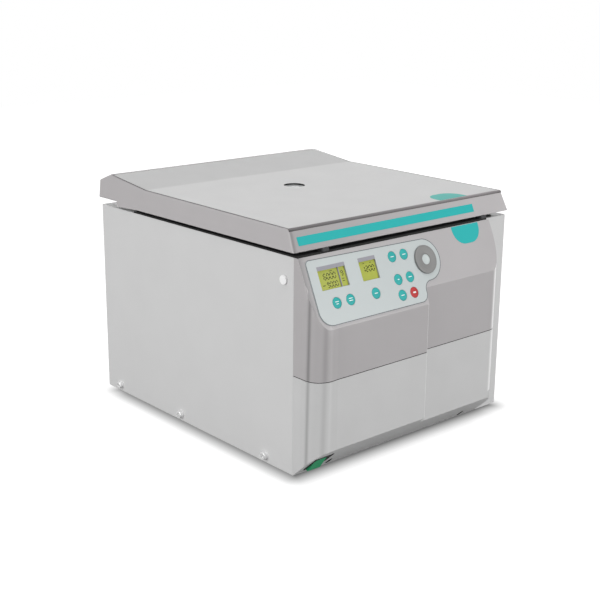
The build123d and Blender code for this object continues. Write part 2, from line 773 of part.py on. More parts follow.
def motor_body():
    # Finned brushless motor case.
    z0 = motor_plate_z + motor_plate_thickness
    body = rod(0, chamber_y, z0, motor_top_z, motor_radius)
    for turn in range(motor_fins):
        fin = block(motor_radius - 4, motor_radius + 8, -1.5, 1.5, z0 + 14, motor_top_z - 10)
        body += Pos(0, chamber_y, 0) * (Rot(0, 0, 360 / motor_fins * turn) * fin)
    body += rod(0, chamber_y, z0, z0 + 10, motor_radius + 10)
    return body - rod(0, chamber_y, motor_plate_z + 16, motor_top_z + 1, shaft_radius + running_gap)


def bearing_neck():
    # Bearing housing that stands on the motor and reaches through the chamber floor.
    neck = rod(0, chamber_y, motor_top_z, neck_top_z, neck_radius)
    neck += rod(0, chamber_y, motor_top_z, motor_top_z + 4, 34)
    return neck - rod(0, chamber_y, motor_top_z - 1, neck_top_z + 1, shaft_radius + running_gap)


def motor_shaft():
    shoulder_z = trunnion_z + beam_half_height
    shaft = rod(0, chamber_y, motor_plate_z + 20, shoulder_z, shaft_radius)
    return shaft + rod(0, chamber_y, shoulder_z, shoulder_z + 19, shaft_radius - 2)


# Rotor.

beam_half_height = 12.0
beam_inner_y = 70.0
beam_outer_y = 76.0
beam_length = 164.0
beam_slot_x = 40.0
hub_top_z = trunnion_z - beam_half_height


def rotor_hub():
    hub_low = neck_top_z + 3
    hub = rod(0, chamber_y, hub_low, hub_top_z, 18) + rod(0, chamber_y, hub_low, hub_low + 6, 22)
    return hub - rod(0, chamber_y, neck_top_z, hub_top_z + 1, shaft_radius + running_gap)


def rotor_yoke():
    # H-shaped yoke: a cross bar over the hub and two side beams that carry the trunnion pins.
    z1 = trunnion_z + beam_half_height
    yoke = block(-15, 15, chamber_y - beam_outer_y, chamber_y + beam_outer_y, hub_top_z, z1)
    for side in (-1, 1):
        y = sorted((side * beam_inner_y, side * beam_outer_y))
        beam = Pos(0, trunnion_z) * RectangleRounded(beam_length, 2 * beam_half_height, 8)
        slot = SlotOverall(30, 8)
        beam -= Pos(-beam_slot_x, trunnion_z) * slot + Pos(beam_slot_x, trunnion_z) * slot
        yoke += front_prism(beam, chamber_y + y[0], chamber_y + y[1])
    for side in (-1, 1):
        yoke -= Pos(0, chamber_y + side * 44, z1) * Box(18, 34, 24)
    y0 = chamber_y - beam_outer_y - 1
    y1 = chamber_y + beam_outer_y + 1
    for x in (-trunnion_radius, trunnion_radius):
        yoke -= rod_along_y(x, y0, y1, trunnion_z, trunnion_pin_radius)
    return yoke - rod(0, chamber_y, hub_top_z - 1, z1 + 1, shaft_radius + running_gap)


ear_outer = plate_length / 2 + plate_clearance + carrier_ear


def trunnion_pins():
    pins = []
    for x in (-trunnion_radius, trunnion_radius):
        for side in (-1, 1):
            y = sorted((side * (ear_outer - carrier_ear + 0.3), side * beam_outer_y))
            pins.append(rod_along_y(x, chamber_y + y[0], chamber_y + y[1], trunnion_z, trunnion_pin_radius))
    return Compound(children=pins)


def rotor_nut():
    z0 = trunnion_z + beam_half_height
    nut = Pos(0, chamber_y, z0) * extrude(RegularPolygon(15, 12), amount=14)
    nut += rod(0, chamber_y, z0, z0 + 3, 14.6)
    return nut - rod(0, chamber_y, z0 - 1, z0 + 15, shaft_radius - 2 + running_gap)


def plate_carrier(side):
    # Open tray for a stack of microplates, hung by its two end ears.
    half_x = plate_width / 2 + plate_clearance + carrier_wall
    floor_z = trunnion_z - carrier_drop
    floor = 2.5
    lip = 11.0
    tray = block(-half_x, half_x, -ear_outer, ear_outer, floor_z, floor_z + lip)
    room_x = half_x - carrier_wall
    room_y = ear_outer - carrier_ear
    tray -= block(-room_x, room_x, -room_y, room_y, floor_z + floor, floor_z + lip + 1)
    foot = 20.0
    eye = 13.0
    ear = Polygon((-foot, floor_z), (foot, floor_z), (eye, trunnion_z), (-eye, trunnion_z), align=None)
    ear += Pos(0, trunnion_z) * Circle(eye)
    ear -= Pos(0, trunnion_z) * Circle(trunnion_pin_radius + running_gap)
    tray += front_prism(ear, -ear_outer, -ear_outer + carrier_ear)
    tray += front_prism(ear, ear_outer - carrier_ear, ear_outer)
    return Pos(side * trunnion_radius, chamber_y, 0) * tray


# Lid.

def lid_side_limits(inset):
    # Front view of the lid: the sides lean in towards the top.
    z0 = lid_front_bottom[1] - 22.8
    z1 = lid_peak[1] + 14.6
    lean = (lid_half_bottom - lid_half_top) / (lid_front_top[1] - lid_front_bottom[1])
    low = lid_half_bottom + (lid_front_bottom[1] - z0) * lean - inset
    high = lid_half_bottom - (z1 - lid_front_bottom[1]) * lean - inset
    outline = Polygon((-low, z0), (low, z0), (high, z1), (-high, z1), align=None)
    return front_prism(outline, lid_front_bottom[0] - lid_side_margin, lid_rear_top[0] + lid_side_margin)


def lid_prism(profile):
    reach = lid_half_bottom + lid_side_margin
    return side_prism(profile, -reach, reach)


def lid_top_z(y):
    # Height of the gently rising top between the lid front and the crease.
    return lid_front_top[1] + (y - lid_front_top[0]) * lid_slope


def sight_hole(radius):
    return rod(sight_x, sight_y, liner_z - 5, lid_front_top[1] + 20, radius)


def lid_outer():
    profile = Polygon(
        lid_front_bottom, lid_front_top, lid_crease, lid_peak, lid_rear_top, lid_rear_bottom,
        lid_step_top, lid_step_bottom, lid_skirt_bend, align=None,
    )
    profile = round_corner(profile, lid_front_top, 3.0)
    profile = round_corner(profile, lid_peak, 4.0)
    profile = round_corner(profile, lid_rear_top, 2.5)
    body = lid_prism(profile) & lid_side_limits(0)
    flanks = body.faces().sort_by(Axis.X)
    rims = flanks[0].edges() + flanks[-1].edges()
    return fillet([edge for edge in rims if edge.center().Z > lid_front_bottom[1] + 3], lid_edge_radius)


def lid_cavity():
    # The open inside of the lid, reaching down past its skirt.
    slope = (lid_front_top[0] - lid_front_bottom[0]) / (lid_front_top[1] - lid_front_bottom[1])
    skin = lid_plate_thickness + lid_wall
    low_z = lid_front_bottom[1] - 20.8
    front = lid_front_bottom[0] + lid_wall * 1.1
    top_z = lid_front_top[1] - skin
    rear_y = lid_rear_top[0] - lid_wall
    profile = Polygon(
        (front + (low_z - lid_front_bottom[1]) * slope, low_z),
        (front + (top_z - lid_front_bottom[1]) * slope, top_z),
        (lid_crease[0], lid_crease[1] - skin),
        (lid_peak[0] - 2, lid_peak[1] - skin),
        (rear_y, lid_rear_top[1] - skin),
        (rear_y, low_z),
        align=None,
    )
    return lid_prism(profile) & lid_side_limits(lid_wall)


def lid_plate_volume(inset, extra):
    # The sheet that covers the lid from its front edge to the peak.
    thick = lid_plate_thickness
    front_y = lid_front_top[0] + 2.2 + inset
    rear_y = lid_peak[0] - 4 - inset
    front_z = lid_top_z(front_y)
    rise = (lid_peak[1] - lid_crease[1]) / (lid_peak[0] - lid_crease[0])
    rear_z = lid_crease[1] + (rear_y - lid_crease[0]) * rise
    profile = Polygon(
        (front_y, front_z - thick), (front_y, front_z + extra),
        (lid_crease[0], lid_crease[1] + extra), (rear_y, rear_z + extra),
        (rear_y, rear_z - thick), (lid_crease[0], lid_crease[1] - thick),
        align=None,
    )
    half = lid_half_top - 2.0 - inset
    return side_prism(profile, -half, half)


def lid_frame():
    frame = lid_outer() - lid_cavity() - lid_plate_volume(0, 5)
    for side in (-1, 1):
        x = side * hinge_x
        frame -= block(x - 9, x + 9, lid_rear_top[0] - 8, lid_rear_top[0] + 2, liner_z - 4, hinge_z + 8)
    frame -= sight_hole(sight_radius - 3)
    rib_half = lid_rib_thickness / 2
    rib_pitch = half_width / 2
    for rib in range(4):
        x = (rib - 1.5) * rib_pitch
        rib_box = block(x - rib_half, x + rib_half, 30, body_depth - 52.5, liner_z + 14.5, lid_peak[1])
        frame += (rib_box & lid_cavity()) - sight_hole(40)
    return frame


def lid_top_plate():
    return lid_plate_volume(lid_plate_gap, 0) - sight_hole(sight_radius)


def sight_glass():
    seat_z = lid_top_z(sight_y) - lid_plate_thickness + 0.25
    return rod(sight_x, sight_y, seat_z, seat_z + 0.8, sight_radius - 0.3)


def lid_liner():
    rear_y = lid_step_bottom[0] - 2
    limits = block(-lid_half_bottom, lid_half_bottom, lid_front_bottom[0], rear_y, liner_z, liner_z + sheet)
    return (lid_cavity() & limits) - sight_hole(sight_radius)


def lid_seal():
    return ring(0, chamber_y, liner_z - 2.1, liner_z, bowl_radius + bowl_flange + 1, bowl_radius + 1.5)


def lid_strikers():
    strikers = []
    for side in (-1, 1):
        x = side * striker_x
        tip = body_height - 21.1
        plate = block(x - 10, x + 10, striker_y - 1.5, striker_y + 1.5, tip, liner_z)
        plate -= block(x - 5, x + 5, striker_y - 3, striker_y + 3, tip + 4, tip + 12)
        strikers.append(plate)
    return Compound(children=strikers)


def lid_hinge_lugs():
    # Two lugs beside each bracket, shaped to the inside of the lid hump.
    lugs = []
    cavity = lid_cavity()
    for side in (-1, 1):
        for hand in (-1, 1):
            x = side * hinge_x + hand * 14
            lug = cavity & block(x - 5, x + 5, hinge_y - 14, hinge_y + 11.4, hinge_z - 9, lid_peak[1])
            lug -= rod_along_x(x - 6, x + 6, hinge_y, hinge_z, hinge_pin_radius)
            lugs.append(lug)
    return Compound(children=lugs)


def hinge_pins():
    pins = []
    for x in (-hinge_x, hinge_x):
        pins.append(rod_along_x(x - 19, x + 19, hinge_y, hinge_z, hinge_pin_radius))
    return Compound(children=pins)


# Save.

def save(name, shape):
    export_step(row_frame * shape, os.path.join("parts", name + ".step"))


os.makedirs("parts", exist_ok=True)
save("base_pan", base_pan())
save("side_panel_left", side_panel_left())
save("side_panel_right", side_panel_right())
save("rear_panel", rear_panel())
save("top_deck", top_deck())
save("rim_trim", rim_trim())
save("lid_buffers", lid_buffers())
save("fascia_upper", fascia_upper())
save("fascia_lower", fascia_lower())
save("front_bulkhead", front_bulkhead())
save("control_board", control_board())
save("drive_board", drive_board())
save("drive_heatsink", drive_heatsink())
save("mains_inlet", mains_inlet())
save("rubber_feet", rubber_feet())
save("side_screws", side_screws())
save("release_plug", release_plug())
save("lock_units", lock_units())
save("hinge_brackets", hinge_brackets())
save("control_membrane", control_membrane())
save("display_speed", display_module(speed_window))
save("display_time", display_module(time_window))
save("keypad_board", keypad_board())
for key_name, key_place in key_places.items():
    save(key_name, key_cap(key_place))
save("dial_encoder", dial_encoder())
save("speed_dial", speed_dial())
save("dial_cap", dial_cap())
save("switch_frame", switch_frame())
save("power_rocker", power_rocker())
save("guard_ring", guard_ring())
save("chamber_wall", chamber_wall())
save("chamber_floor", chamber_floor())
save("bowl_gasket", bowl_gasket())
save("rubber_mounts", rubber_mounts())
save("motor_plate", motor_plate())
save("motor_body", motor_body())
save("bearing_neck", bearing_neck())
save("motor_shaft", motor_shaft())
save("rotor_hub", rotor_hub())
save("rotor_yoke", rotor_yoke())
save("trunnion_pins", trunnion_pins())
save("rotor_nut", rotor_nut())
save("plate_carrier_a", plate_carrier(1))
save("plate_carrier_b", plate_carrier(-1))
save("lid_frame", lid_frame())
save("lid_top_plate", lid_top_plate())
save("sight_glass", sight_glass())
save("lid_liner", lid_liner())
save("lid_seal", lid_seal())
save("lid_strikers", lid_strikers())
save("lid_hinge_lugs", lid_hinge_lugs())
save("hinge_pins", hinge_pins())
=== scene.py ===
import json
import math
import bpy
import bmesh
import numpy as np
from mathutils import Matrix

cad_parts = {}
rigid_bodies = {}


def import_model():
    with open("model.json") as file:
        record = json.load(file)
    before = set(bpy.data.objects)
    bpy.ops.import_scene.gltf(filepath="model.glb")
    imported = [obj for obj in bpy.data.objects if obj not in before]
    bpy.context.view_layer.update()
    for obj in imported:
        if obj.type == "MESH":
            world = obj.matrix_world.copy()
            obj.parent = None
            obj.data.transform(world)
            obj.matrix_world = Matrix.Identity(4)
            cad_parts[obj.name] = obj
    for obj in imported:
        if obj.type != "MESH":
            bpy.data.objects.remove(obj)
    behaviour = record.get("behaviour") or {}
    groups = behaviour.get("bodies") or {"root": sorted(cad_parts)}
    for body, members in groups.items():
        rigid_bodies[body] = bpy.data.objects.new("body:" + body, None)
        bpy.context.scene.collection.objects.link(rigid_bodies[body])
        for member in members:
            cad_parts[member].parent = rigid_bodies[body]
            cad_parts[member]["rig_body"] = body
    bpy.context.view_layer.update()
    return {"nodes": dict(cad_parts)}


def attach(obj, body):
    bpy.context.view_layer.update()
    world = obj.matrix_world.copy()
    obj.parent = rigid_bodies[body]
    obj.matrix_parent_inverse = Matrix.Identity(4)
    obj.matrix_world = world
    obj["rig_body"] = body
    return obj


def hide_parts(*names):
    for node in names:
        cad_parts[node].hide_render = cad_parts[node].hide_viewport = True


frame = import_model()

millimetre = 0.001
# x is measured with the left side of the body at -200 and its middle at 1.5,
# y from the front and z from the base plate
rowShift = np.array([-1.5, -197.1, 18.0])
bodyMiddle = 1.5


def toRow(points):
    # metres in the row frame = (construction millimetres + shift) / 1000
    return (np.asarray(points, float) + rowShift) * millimetre


def toLinear(hexColour):
    # sRGB hex to linear: below 0.04045 divide by 12.92, above it raise to the power 2.4
    channels = np.array([int(hexColour[i:i + 2], 16) for i in (1, 3, 5)]) / 255
    linear = np.where(channels <= 0.04045, channels / 12.92, ((channels + 0.055) / 1.055) ** 2.4)
    return (*linear, 1.0)


def addNode(tree, kind, settings=None, inputs=None, links=None):
    # one node, its settings, its input values, and the sockets that feed it
    node = tree.nodes.new(kind)
    for name, value in (settings or {}).items():
        setattr(node, name, value)
    for name, value in (inputs or {}).items():
        node.inputs[name].default_value = value
    for name, source in (links or {}).items():
        tree.links.new(source, node.inputs[name])
    return node


def startMaterial(name, colour, roughness, ior=1.5, metallic=0.0, extras=None):
    material = bpy.data.materials.new(name)
    material.use_nodes = True
    material.diffuse_color = toLinear(colour)
    tree = material.node_tree
    tree.nodes.clear()
    inputs = {"Base Color": toLinear(colour), "Roughness": roughness, "Metallic": metallic}
    if not metallic:
        inputs["IOR"] = ior
    inputs.update(extras or {})
    shader = addNode(tree, "ShaderNodeBsdfPrincipled", inputs=inputs)
    addNode(tree, "ShaderNodeOutputMaterial", links={"Surface": shader.outputs["BSDF"]})
    place = addNode(tree, "ShaderNodeTexCoord")
    return material, tree, shader, place.outputs["Object"]


# how many finer layers each noise holds
patchDetail, grainDetail, wearDetail = 3.0, 2.0, 4.0


def shade(tree, shader, place, colour, spread, patchMm):
    # colour drifts by a few per cent over patches of the given size
    noise = addNode(tree, "ShaderNodeTexNoise", links={"Vector": place},
                    inputs={"Scale": 1 / (patchMm * millimetre), "Detail": patchDetail})
    ramp = addNode(tree, "ShaderNodeValToRGB", links={"Fac": noise.outputs["Fac"]})
    base = np.array(toLinear(colour)[:3])
    for element, position, share in zip(ramp.color_ramp.elements, (0.3, 0.7), (1 - spread, 1 + spread)):
        element.position = position
        element.color = (*np.minimum(base * share, 1), 1)
    tree.links.new(ramp.outputs["Color"], shader.inputs["Base Color"])


def texture(tree, shader, place, grainMm, depthMm, strength):
    # fine bump whose grain is a real size in millimetres
    noise = addNode(tree, "ShaderNodeTexNoise", links={"Vector": place},
                    inputs={"Scale": 1 / (grainMm * millimetre), "Detail": grainDetail})
    bump = addNode(tree, "ShaderNodeBump", inputs={"Strength": strength, "Distance": depthMm * millimetre},
                   links={"Height": noise.outputs["Fac"]})
    tree.links.new(bump.outputs["Normal"], shader.inputs["Normal"])


def varyGloss(tree, shader, pattern, low, high):
    # roughness follows a pattern between two values
    spread = addNode(tree, "ShaderNodeMapRange", inputs={"To Min": low, "To Max": high},
                     links={"Value": pattern})
    tree.links.new(spread.outputs["Result"], shader.inputs["Roughness"])


def polish(tree, shader, place, patchMm, low, high):
    # roughness wanders where hands and cloths have been
    noise = addNode(tree, "ShaderNodeTexNoise", links={"Vector": place},
                    inputs={"Scale": 1 / (patchMm * millimetre), "Detail": wearDetail})
    varyGloss(tree, shader, noise.outputs["Fac"], low, high)


def powderCoat(name, colour):
    # polyester powder coat baked on folded steel: semi-matt with a faint orange peel about 2 mm across
    material, tree, shader, place = startMaterial(name, colour, 0.42)
    shade(tree, shader, place, colour, 0.012, 60)
    polish(tree, shader, place, 35, 0.38, 0.46)
    texture(tree, shader, place, 2.0, 0.02, 0.25)
    return material


def mouldedAbs(name, colour, roughness=0.48, specular=0.5):
    # injection-moulded ABS with a spark-eroded matt grain, drawn at 0.8 mm, coarser than the real 0.1 mm
    material, tree, shader, place = startMaterial(name, colour, roughness, 1.53,
                                                  extras={"Specular IOR Level": specular})
    shade(tree, shader, place, colour, 0.015, 50)
    polish(tree, shader, place, 30, roughness - 0.05, roughness + 0.05)
    texture(tree, shader, place, 0.8, 0.015, 0.3)
    return material


def polyesterFilm(name, colour, roughness=0.35, specular=0.5):
    # screen-printed polyester film: flat, evenly coloured, with a fine velvet finish
    material, tree, shader, place = startMaterial(name, colour, roughness, 1.57,
                                                  extras={"Specular IOR Level": specular})
    shade(tree, shader, place, colour, 0.01, 40)
    texture(tree, shader, place, 0.5, 0.006, 0.2)
    return material


def siliconeRubber(name, colour, roughness=0.6):
    # moulded silicone or nitrile rubber: soft, slightly dusty, no sharp gloss
    material, tree, shader, place = startMaterial(name, colour, roughness, 1.42)
    shade(tree, shader, place, colour, 0.08, 8)
    texture(tree, shader, place, 0.6, 0.02, 0.35)
    return material


def brushedSteel(name, colour, roughness=0.32, alongAxis=0):
    # stainless or zinc-coated sheet with a drawn grain: streaks 0.4 mm wide and 60 mm long
    material, tree, shader, place = startMaterial(name, colour, roughness, metallic=1.0)
    streakWidth, streakLength = 0.0004, 0.06
    stretch = [1 / streakWidth] * 3
    stretch[alongAxis] = 1 / streakLength
    streaks = addNode(tree, "ShaderNodeMapping", inputs={"Scale": stretch}, links={"Vector": place})
    noise = addNode(tree, "ShaderNodeTexNoise", inputs={"Scale": 1.0, "Detail": 3.0},
                    links={"Vector": streaks.outputs["Vector"]})
    varyGloss(tree, shader, noise.outputs["Fac"], roughness - 0.08, roughness + 0.1)
    return material


def castMetal(name, colour, roughness=0.5):
    # cast or machined aluminium and iron: fine grain, a little uneven in gloss
    material, tree, shader, place = startMaterial(name, colour, roughness, metallic=1.0)
    polish(tree, shader, place, 12, roughness - 0.1, roughness + 0.1)
    texture(tree, shader, place, 1.2, 0.03, 0.3)
    return material


def spunSteel(name, colour, centre, roughness=0.24):
    # deep-drawn stainless bowl polished while it turned: fine rings round its axis, 1.6 mm apart
    # (a wave node of scale 0.314 repeats once in each unit)
    ringPitch = 0.0016
    material, tree, shader, place = startMaterial(name, colour, roughness, metallic=1.0)
    middle = addNode(tree, "ShaderNodeMapping", inputs={"Location": (-centre[0], -centre[1], 0)},
                     links={"Vector": place})
    rings = addNode(tree, "ShaderNodeTexWave", {"wave_type": "RINGS", "rings_direction": "Z"},
                    {"Scale": 0.314 / ringPitch, "Distortion": 0.6, "Detail": 2.0},
                    {"Vector": middle.outputs["Vector"]})
    varyGloss(tree, shader, rings.outputs["Fac"], roughness - 0.04, roughness + 0.08)
    return material


def satinGlass(name, colour):
    # thick polycarbonate disc with a satin underside: pale grey, only a little light comes through
    material, tree, shader, place = startMaterial(name, colour, 0.2, 1.58,
                                                  extras={"Transmission Weight": 0.15})
    polish(tree, shader, place, 20, 0.16, 0.26)
    return material


def displayGlass(name, colour):
    # reflective twisted-nematic display: yellow-green, smooth, with a faint cell texture
    material, tree, shader, place = startMaterial(name, colour, 0.22, 1.5,
                                                  extras={"Specular IOR Level": 0.25})
    shade(tree, shader, place, colour, 0.03, 9)
    return material


def shadedEdgeFilm(name, upper, lower):
    # thin skin over the lid's front edge, coloured with painted shade: darker where it turns down over the lid
    # front, mid grey where it meets the top
    lowZ, highZ = 0.3357, 0.3388
    material, tree, shader, place = startMaterial(name, upper, 0.5, 1.52)
    axes = addNode(tree, "ShaderNodeSeparateXYZ", links={"Vector": place})
    rise = addNode(tree, "ShaderNodeMapRange", inputs={"From Min": lowZ, "From Max": highZ},
                   links={"Value": axes.outputs["Z"]})
    ramp = addNode(tree, "ShaderNodeValToRGB", links={"Fac": rise.outputs["Result"]})
    ramp.color_ramp.elements[0].color = toLinear(lower)
    ramp.color_ramp.elements[1].color = toLinear(upper)
    tree.links.new(ramp.outputs["Color"], shader.inputs["Base Color"])
    texture(tree, shader, place, 0.6, 0.01, 0.2)
    return material


def openMaterial(material):
    # the tree of a finished material, its shader and its object coordinates
    tree = material.node_tree
    found = {node.type: node for node in tree.nodes}
    return tree, found["BSDF_PRINCIPLED"], found["TEX_COORD"].outputs["Object"]


def paintShadeAlong(name, axis, low, high, stops):
    # painted shade: the base colour fades along one direction of the object, from low to high metres;
    # stops are (share of the way, share of the colour)
    tree, shader, place = openMaterial(materials[name])
    along = addNode(tree, "ShaderNodeVectorMath", {"operation": "DOT_PRODUCT"}, {1: axis}, {0: place})
    way = addNode(tree, "ShaderNodeMapRange", inputs={"From Min": low, "From Max": high},
                  links={"Value": along.outputs["Value"]})
    multiplyRamp(tree, shader, way.outputs[0], stops)


def multiplyRamp(tree, shader, source, stops):
    # the base colour times a grey ramp that the source reads
    ramp = addNode(tree, "ShaderNodeValToRGB", links={"Fac": source})
    elements = ramp.color_ramp.elements
    for index, (position, share) in enumerate(stops):
        element = elements[index] if index < 2 else elements.new(position)
        element.position = position
        element.color = (share, share, share, 1)
    pigment = shader.inputs["Base Color"].links[0].from_socket
    mixed = addNode(tree, "ShaderNodeMix", {"data_type": "RGBA", "blend_type": "MULTIPLY"}, {0: 1.0},
                    {6: pigment, 7: ramp.outputs["Color"]})
    tree.links.new(mixed.outputs[2], shader.inputs["Base Color"])


# where the painted edge highlight goes, in metres: the top of the chin, the edge between the two depths of the
# front and the reach to either side of it, where the right corner bend begins, and the width of each fade
edgeHighlightPlaces = {"aboveZ": 0.0606, "stepX": -0.0035, "stepReach": 0.0035, "bendX": 0.1345, "fade": 0.001}


def paintedEdgeHighlight(name):
    # painted highlight: the base colour turns white at a glancing angle, on the step edge and the right corner
    # bend alone
    tree, shader, place = openMaterial(materials[name])
    glance = addNode(tree, "ShaderNodeLayerWeight", inputs={"Blend": 0.5})
    edge = addNode(tree, "ShaderNodeMapRange", inputs={"From Min": 0.5, "From Max": 0.8},
                   links={"Value": glance.outputs["Facing"]})
    axes = addNode(tree, "ShaderNodeSeparateXYZ", links={"Vector": place})
    fade = edgeHighlightPlaces["fade"]
    aboveZ, bendX, reach = edgeHighlightPlaces["aboveZ"], edgeHighlightPlaces["bendX"], edgeHighlightPlaces["stepReach"]
    above = addNode(tree, "ShaderNodeMapRange", inputs={"From Min": aboveZ, "From Max": aboveZ + fade},
                    links={"Value": axes.outputs["Z"]})
    bend = addNode(tree, "ShaderNodeMapRange", inputs={"From Min": bendX, "From Max": bendX + fade},
                   links={"Value": axes.outputs["X"]})
    # distance from the step edge, then 1 within its reach and 0 past it
    across = addNode(tree, "ShaderNodeMath", {"operation": "SUBTRACT"}, {1: edgeHighlightPlaces["stepX"]},
                     {0: axes.outputs["X"]})
    away = addNode(tree, "ShaderNodeMath", {"operation": "ABSOLUTE"}, links={0: across.outputs[0]})
    step = addNode(tree, "ShaderNodeMapRange",
                   inputs={"From Min": reach, "From Max": reach + fade, "To Min": 1.0, "To Max": 0.0},
                   links={"Value": away.outputs[0]})
    share = bend
    for operation, factor in (("MAXIMUM", step), ("MULTIPLY", above), ("MULTIPLY", edge)):
        share = addNode(tree, "ShaderNodeMath", {"operation": operation},
                        links={0: share.outputs[0], 1: factor.outputs[0]})
    pigment = shader.inputs["Base Color"].links[0].from_socket
    mixed = addNode(tree, "ShaderNodeMix", {"data_type": "RGBA"}, {7: (1, 1, 1, 1)},
                    {0: share.outputs[0], 6: pigment})
    tree.links.new(mixed.outputs[2], shader.inputs["Base Color"])


# each finish: how it is made, its colour and what else differs
finishes = {
    "panelCoat": (powderCoat, "#c9c9c9"),
    "deckCoat": (powderCoat, "#cfcfcf"),
    "rearCoat": (powderCoat, "#c4c4c4"),
    "fasciaGrey": (mouldedAbs, "#aba8a9", 0.34),
    "fasciaLight": (mouldedAbs, "#c2c2c2", 0.34),
    "lidSkirt": (mouldedAbs, "#aeabac"),
    "lidSkin": (mouldedAbs, "#c3c3c3", 0.62, 0.22),
    "membraneFilm": (polyesterFilm, "#b7bebe"),
    "membraneEdge": (polyesterFilm, "#5d6366"),
    "tealFilm": (polyesterFilm, "#2bacab", 0.5, 0.15),
    "tealPale": (polyesterFilm, "#4fa8a0", 0.62, 0.22),
    "edgeBand": (shadedEdgeFilm, "#8a8687", "#585455"),
    "jointShade": (siliconeRubber, "#4a4849", 0.7),
    "windowBar": (polyesterFilm, "#8b8a92"),
    "symbolInk": (polyesterFilm, "#dfe9e8"),
    "keyTeal": (siliconeRubber, "#2ba4a1", 0.6),
    "keyRed": (siliconeRubber, "#b43233", 0.6),
    "displayCell": (displayGlass, "#a6ad44"),
    "displayInk": (displayGlass, "#2b2f12"),
    "dialGrey": (mouldedAbs, "#7c7c7b", 0.5),
    "dialCentre": (mouldedAbs, "#bcc4c3", 0.4),
    "switchBlack": (mouldedAbs, "#141415", 0.4),
    "switchGreen": (mouldedAbs, "#1d9260", 0.35, 0.3),
    "plugWhite": (mouldedAbs, "#ececec", 0.4),
    "inletBlack": (mouldedAbs, "#1b1b1c", 0.45),
    "blackRubber": (siliconeRubber, "#0d0d0d", 0.7),
    "slotShade": (mouldedAbs, "#050505", 0.9, 0.05),
    "footRubber": (siliconeRubber, "#1c1c1c", 0.75),
    "bufferRubber": (siliconeRubber, "#3a3a3c", 0.6),
    "sheetSteel": (brushedSteel, "#a7a9ab"),
    "linerSteel": (brushedSteel, "#b9bbbd", 0.3),
    "shaftSteel": (brushedSteel, "#bfc1c3", 0.22, 2),
    "screwSteel": (castMetal, "#f0f0f0", 0.5),
    "guardIron": (castMetal, "#6f7274", 0.6),
    "motorCasting": (castMetal, "#a3a5a7", 0.5),
    "rotorAluminium": (castMetal, "#8d9195", 0.38),
    "carrierAluminium": (castMetal, "#a9adb0", 0.42),
    "boardResin": (mouldedAbs, "#2c6a44", 0.35),
    "bowlSteel": (spunSteel, "#b9bbbd", toRow((bodyMiddle, 226, 0))),
    "sightGlass": (satinGlass, "#bcbdbe"),
}
materials = {name: make(name, *values) for name, (make, *values) in finishes.items()}

# painted shade: the lid skirt, the lid edge and the fascia are darker towards the left corner, with a dark
# painted line right at the corner on the lid skirt and the fascia, and the lid skin is darker behind its
# crease
paintShadeAlong("lidSkirt", (1, 0, -0.1018), -0.2388, 0.1612,
     [(0.0095, 0.95), (0.0105, 0.5), (0.016, 0.55), (0.024, 0.785), (1, 1)])
paintShadeAlong("lidSkin", (0, 1, 0), 0.1, 0.15, [(0.36, 1), (0.54, 0.885), (1, 0.885)])
paintShadeAlong("edgeBand", (1, 0, 0), -0.2, 0.14, [(0, 0.52), (0.5, 0.75), (1, 1)])
paintShadeAlong("fasciaGrey", (1, 0, 0), -0.2015, -0.1515,
     [(0.004, 1), (0.012, 0.58), (0.06, 0.66), (0.12, 0.77), (0.2, 0.87), (0.4, 0.95), (1, 1)])
# painted highlight on the step edge and the right corner bend of both fascia finishes
for finishName in ("fasciaGrey", "fasciaLight"):
    paintedEdgeHighlight(finishName)

nodeFinishes = {
    "panelCoat": ["side_panel_left", "side_panel_right"],
    "deckCoat": ["top_deck"],
    "rearCoat": ["rear_panel"],
    "fasciaGrey": ["fascia_upper"],
    "fasciaLight": ["fascia_lower"],
    "lidSkirt": ["lid_frame"],
    "lidSkin": ["lid_top_plate"],
    "membraneFilm": ["control_membrane"],
    "displayCell": ["display_speed", "display_time"],
    "keyTeal": ["key_lid", "key_program", "key_time", "key_temperature", "key_radius", "key_brake",
                "key_quick_run", "key_start"],
    "keyRed": ["key_stop"],
    "dialGrey": ["speed_dial"],
    "dialCentre": ["dial_cap"],
    "switchBlack": ["switch_frame", "dial_encoder"],
    "switchGreen": ["power_rocker"],
    "plugWhite": ["release_plug"],
    "inletBlack": ["mains_inlet"],
    "blackRubber": ["rim_trim", "bowl_gasket", "lid_seal"],
    "bufferRubber": ["lid_buffers"],
    "footRubber": ["rubber_feet", "rubber_mounts"],
    "sheetSteel": ["base_pan", "front_bulkhead", "motor_plate", "lock_units", "hinge_brackets",
                   "lid_hinge_lugs"],
    "linerSteel": ["lid_liner", "lid_strikers"],
    "shaftSteel": ["motor_shaft", "trunnion_pins", "hinge_pins"],
    "screwSteel": ["side_screws"],
    "guardIron": ["guard_ring"],
    "motorCasting": ["motor_body", "bearing_neck", "drive_heatsink"],
    "rotorAluminium": ["rotor_hub", "rotor_yoke", "rotor_nut"],
    "carrierAluminium": ["plate_carrier_a", "plate_carrier_b"],
    "boardResin": ["keypad_board", "control_board", "drive_board"],
    "bowlSteel": ["chamber_wall", "chamber_floor"],
    "sightGlass": ["sight_glass"],
}
for finishName, nodeNames in nodeFinishes.items():
    for nodeName in nodeNames:
        for slot in frame["nodes"][nodeName].material_slots:
            slot.material = materials[finishName]
print("materials on the CAD nodes")


def addPiece(name, vertices, faces, finishName, bodyName, nodeNames=(), smooth=True):
    # a mesh in metres that rides on a body
    mesh = bpy.data.meshes.new(name)
    mesh.from_pydata(np.asarray(vertices).tolist(), [], [list(map(int, face)) for face in faces])
    mesh.materials.append(materials[finishName])
    mesh.polygons.foreach_set("use_smooth", np.full(len(mesh.polygons), smooth))
    mesh.update()
    piece = bpy.data.objects.new(name, mesh)
    bpy.context.scene.collection.objects.link(piece)
    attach(piece, bodyName)
    if nodeNames:
        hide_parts(*nodeNames)
    return piece


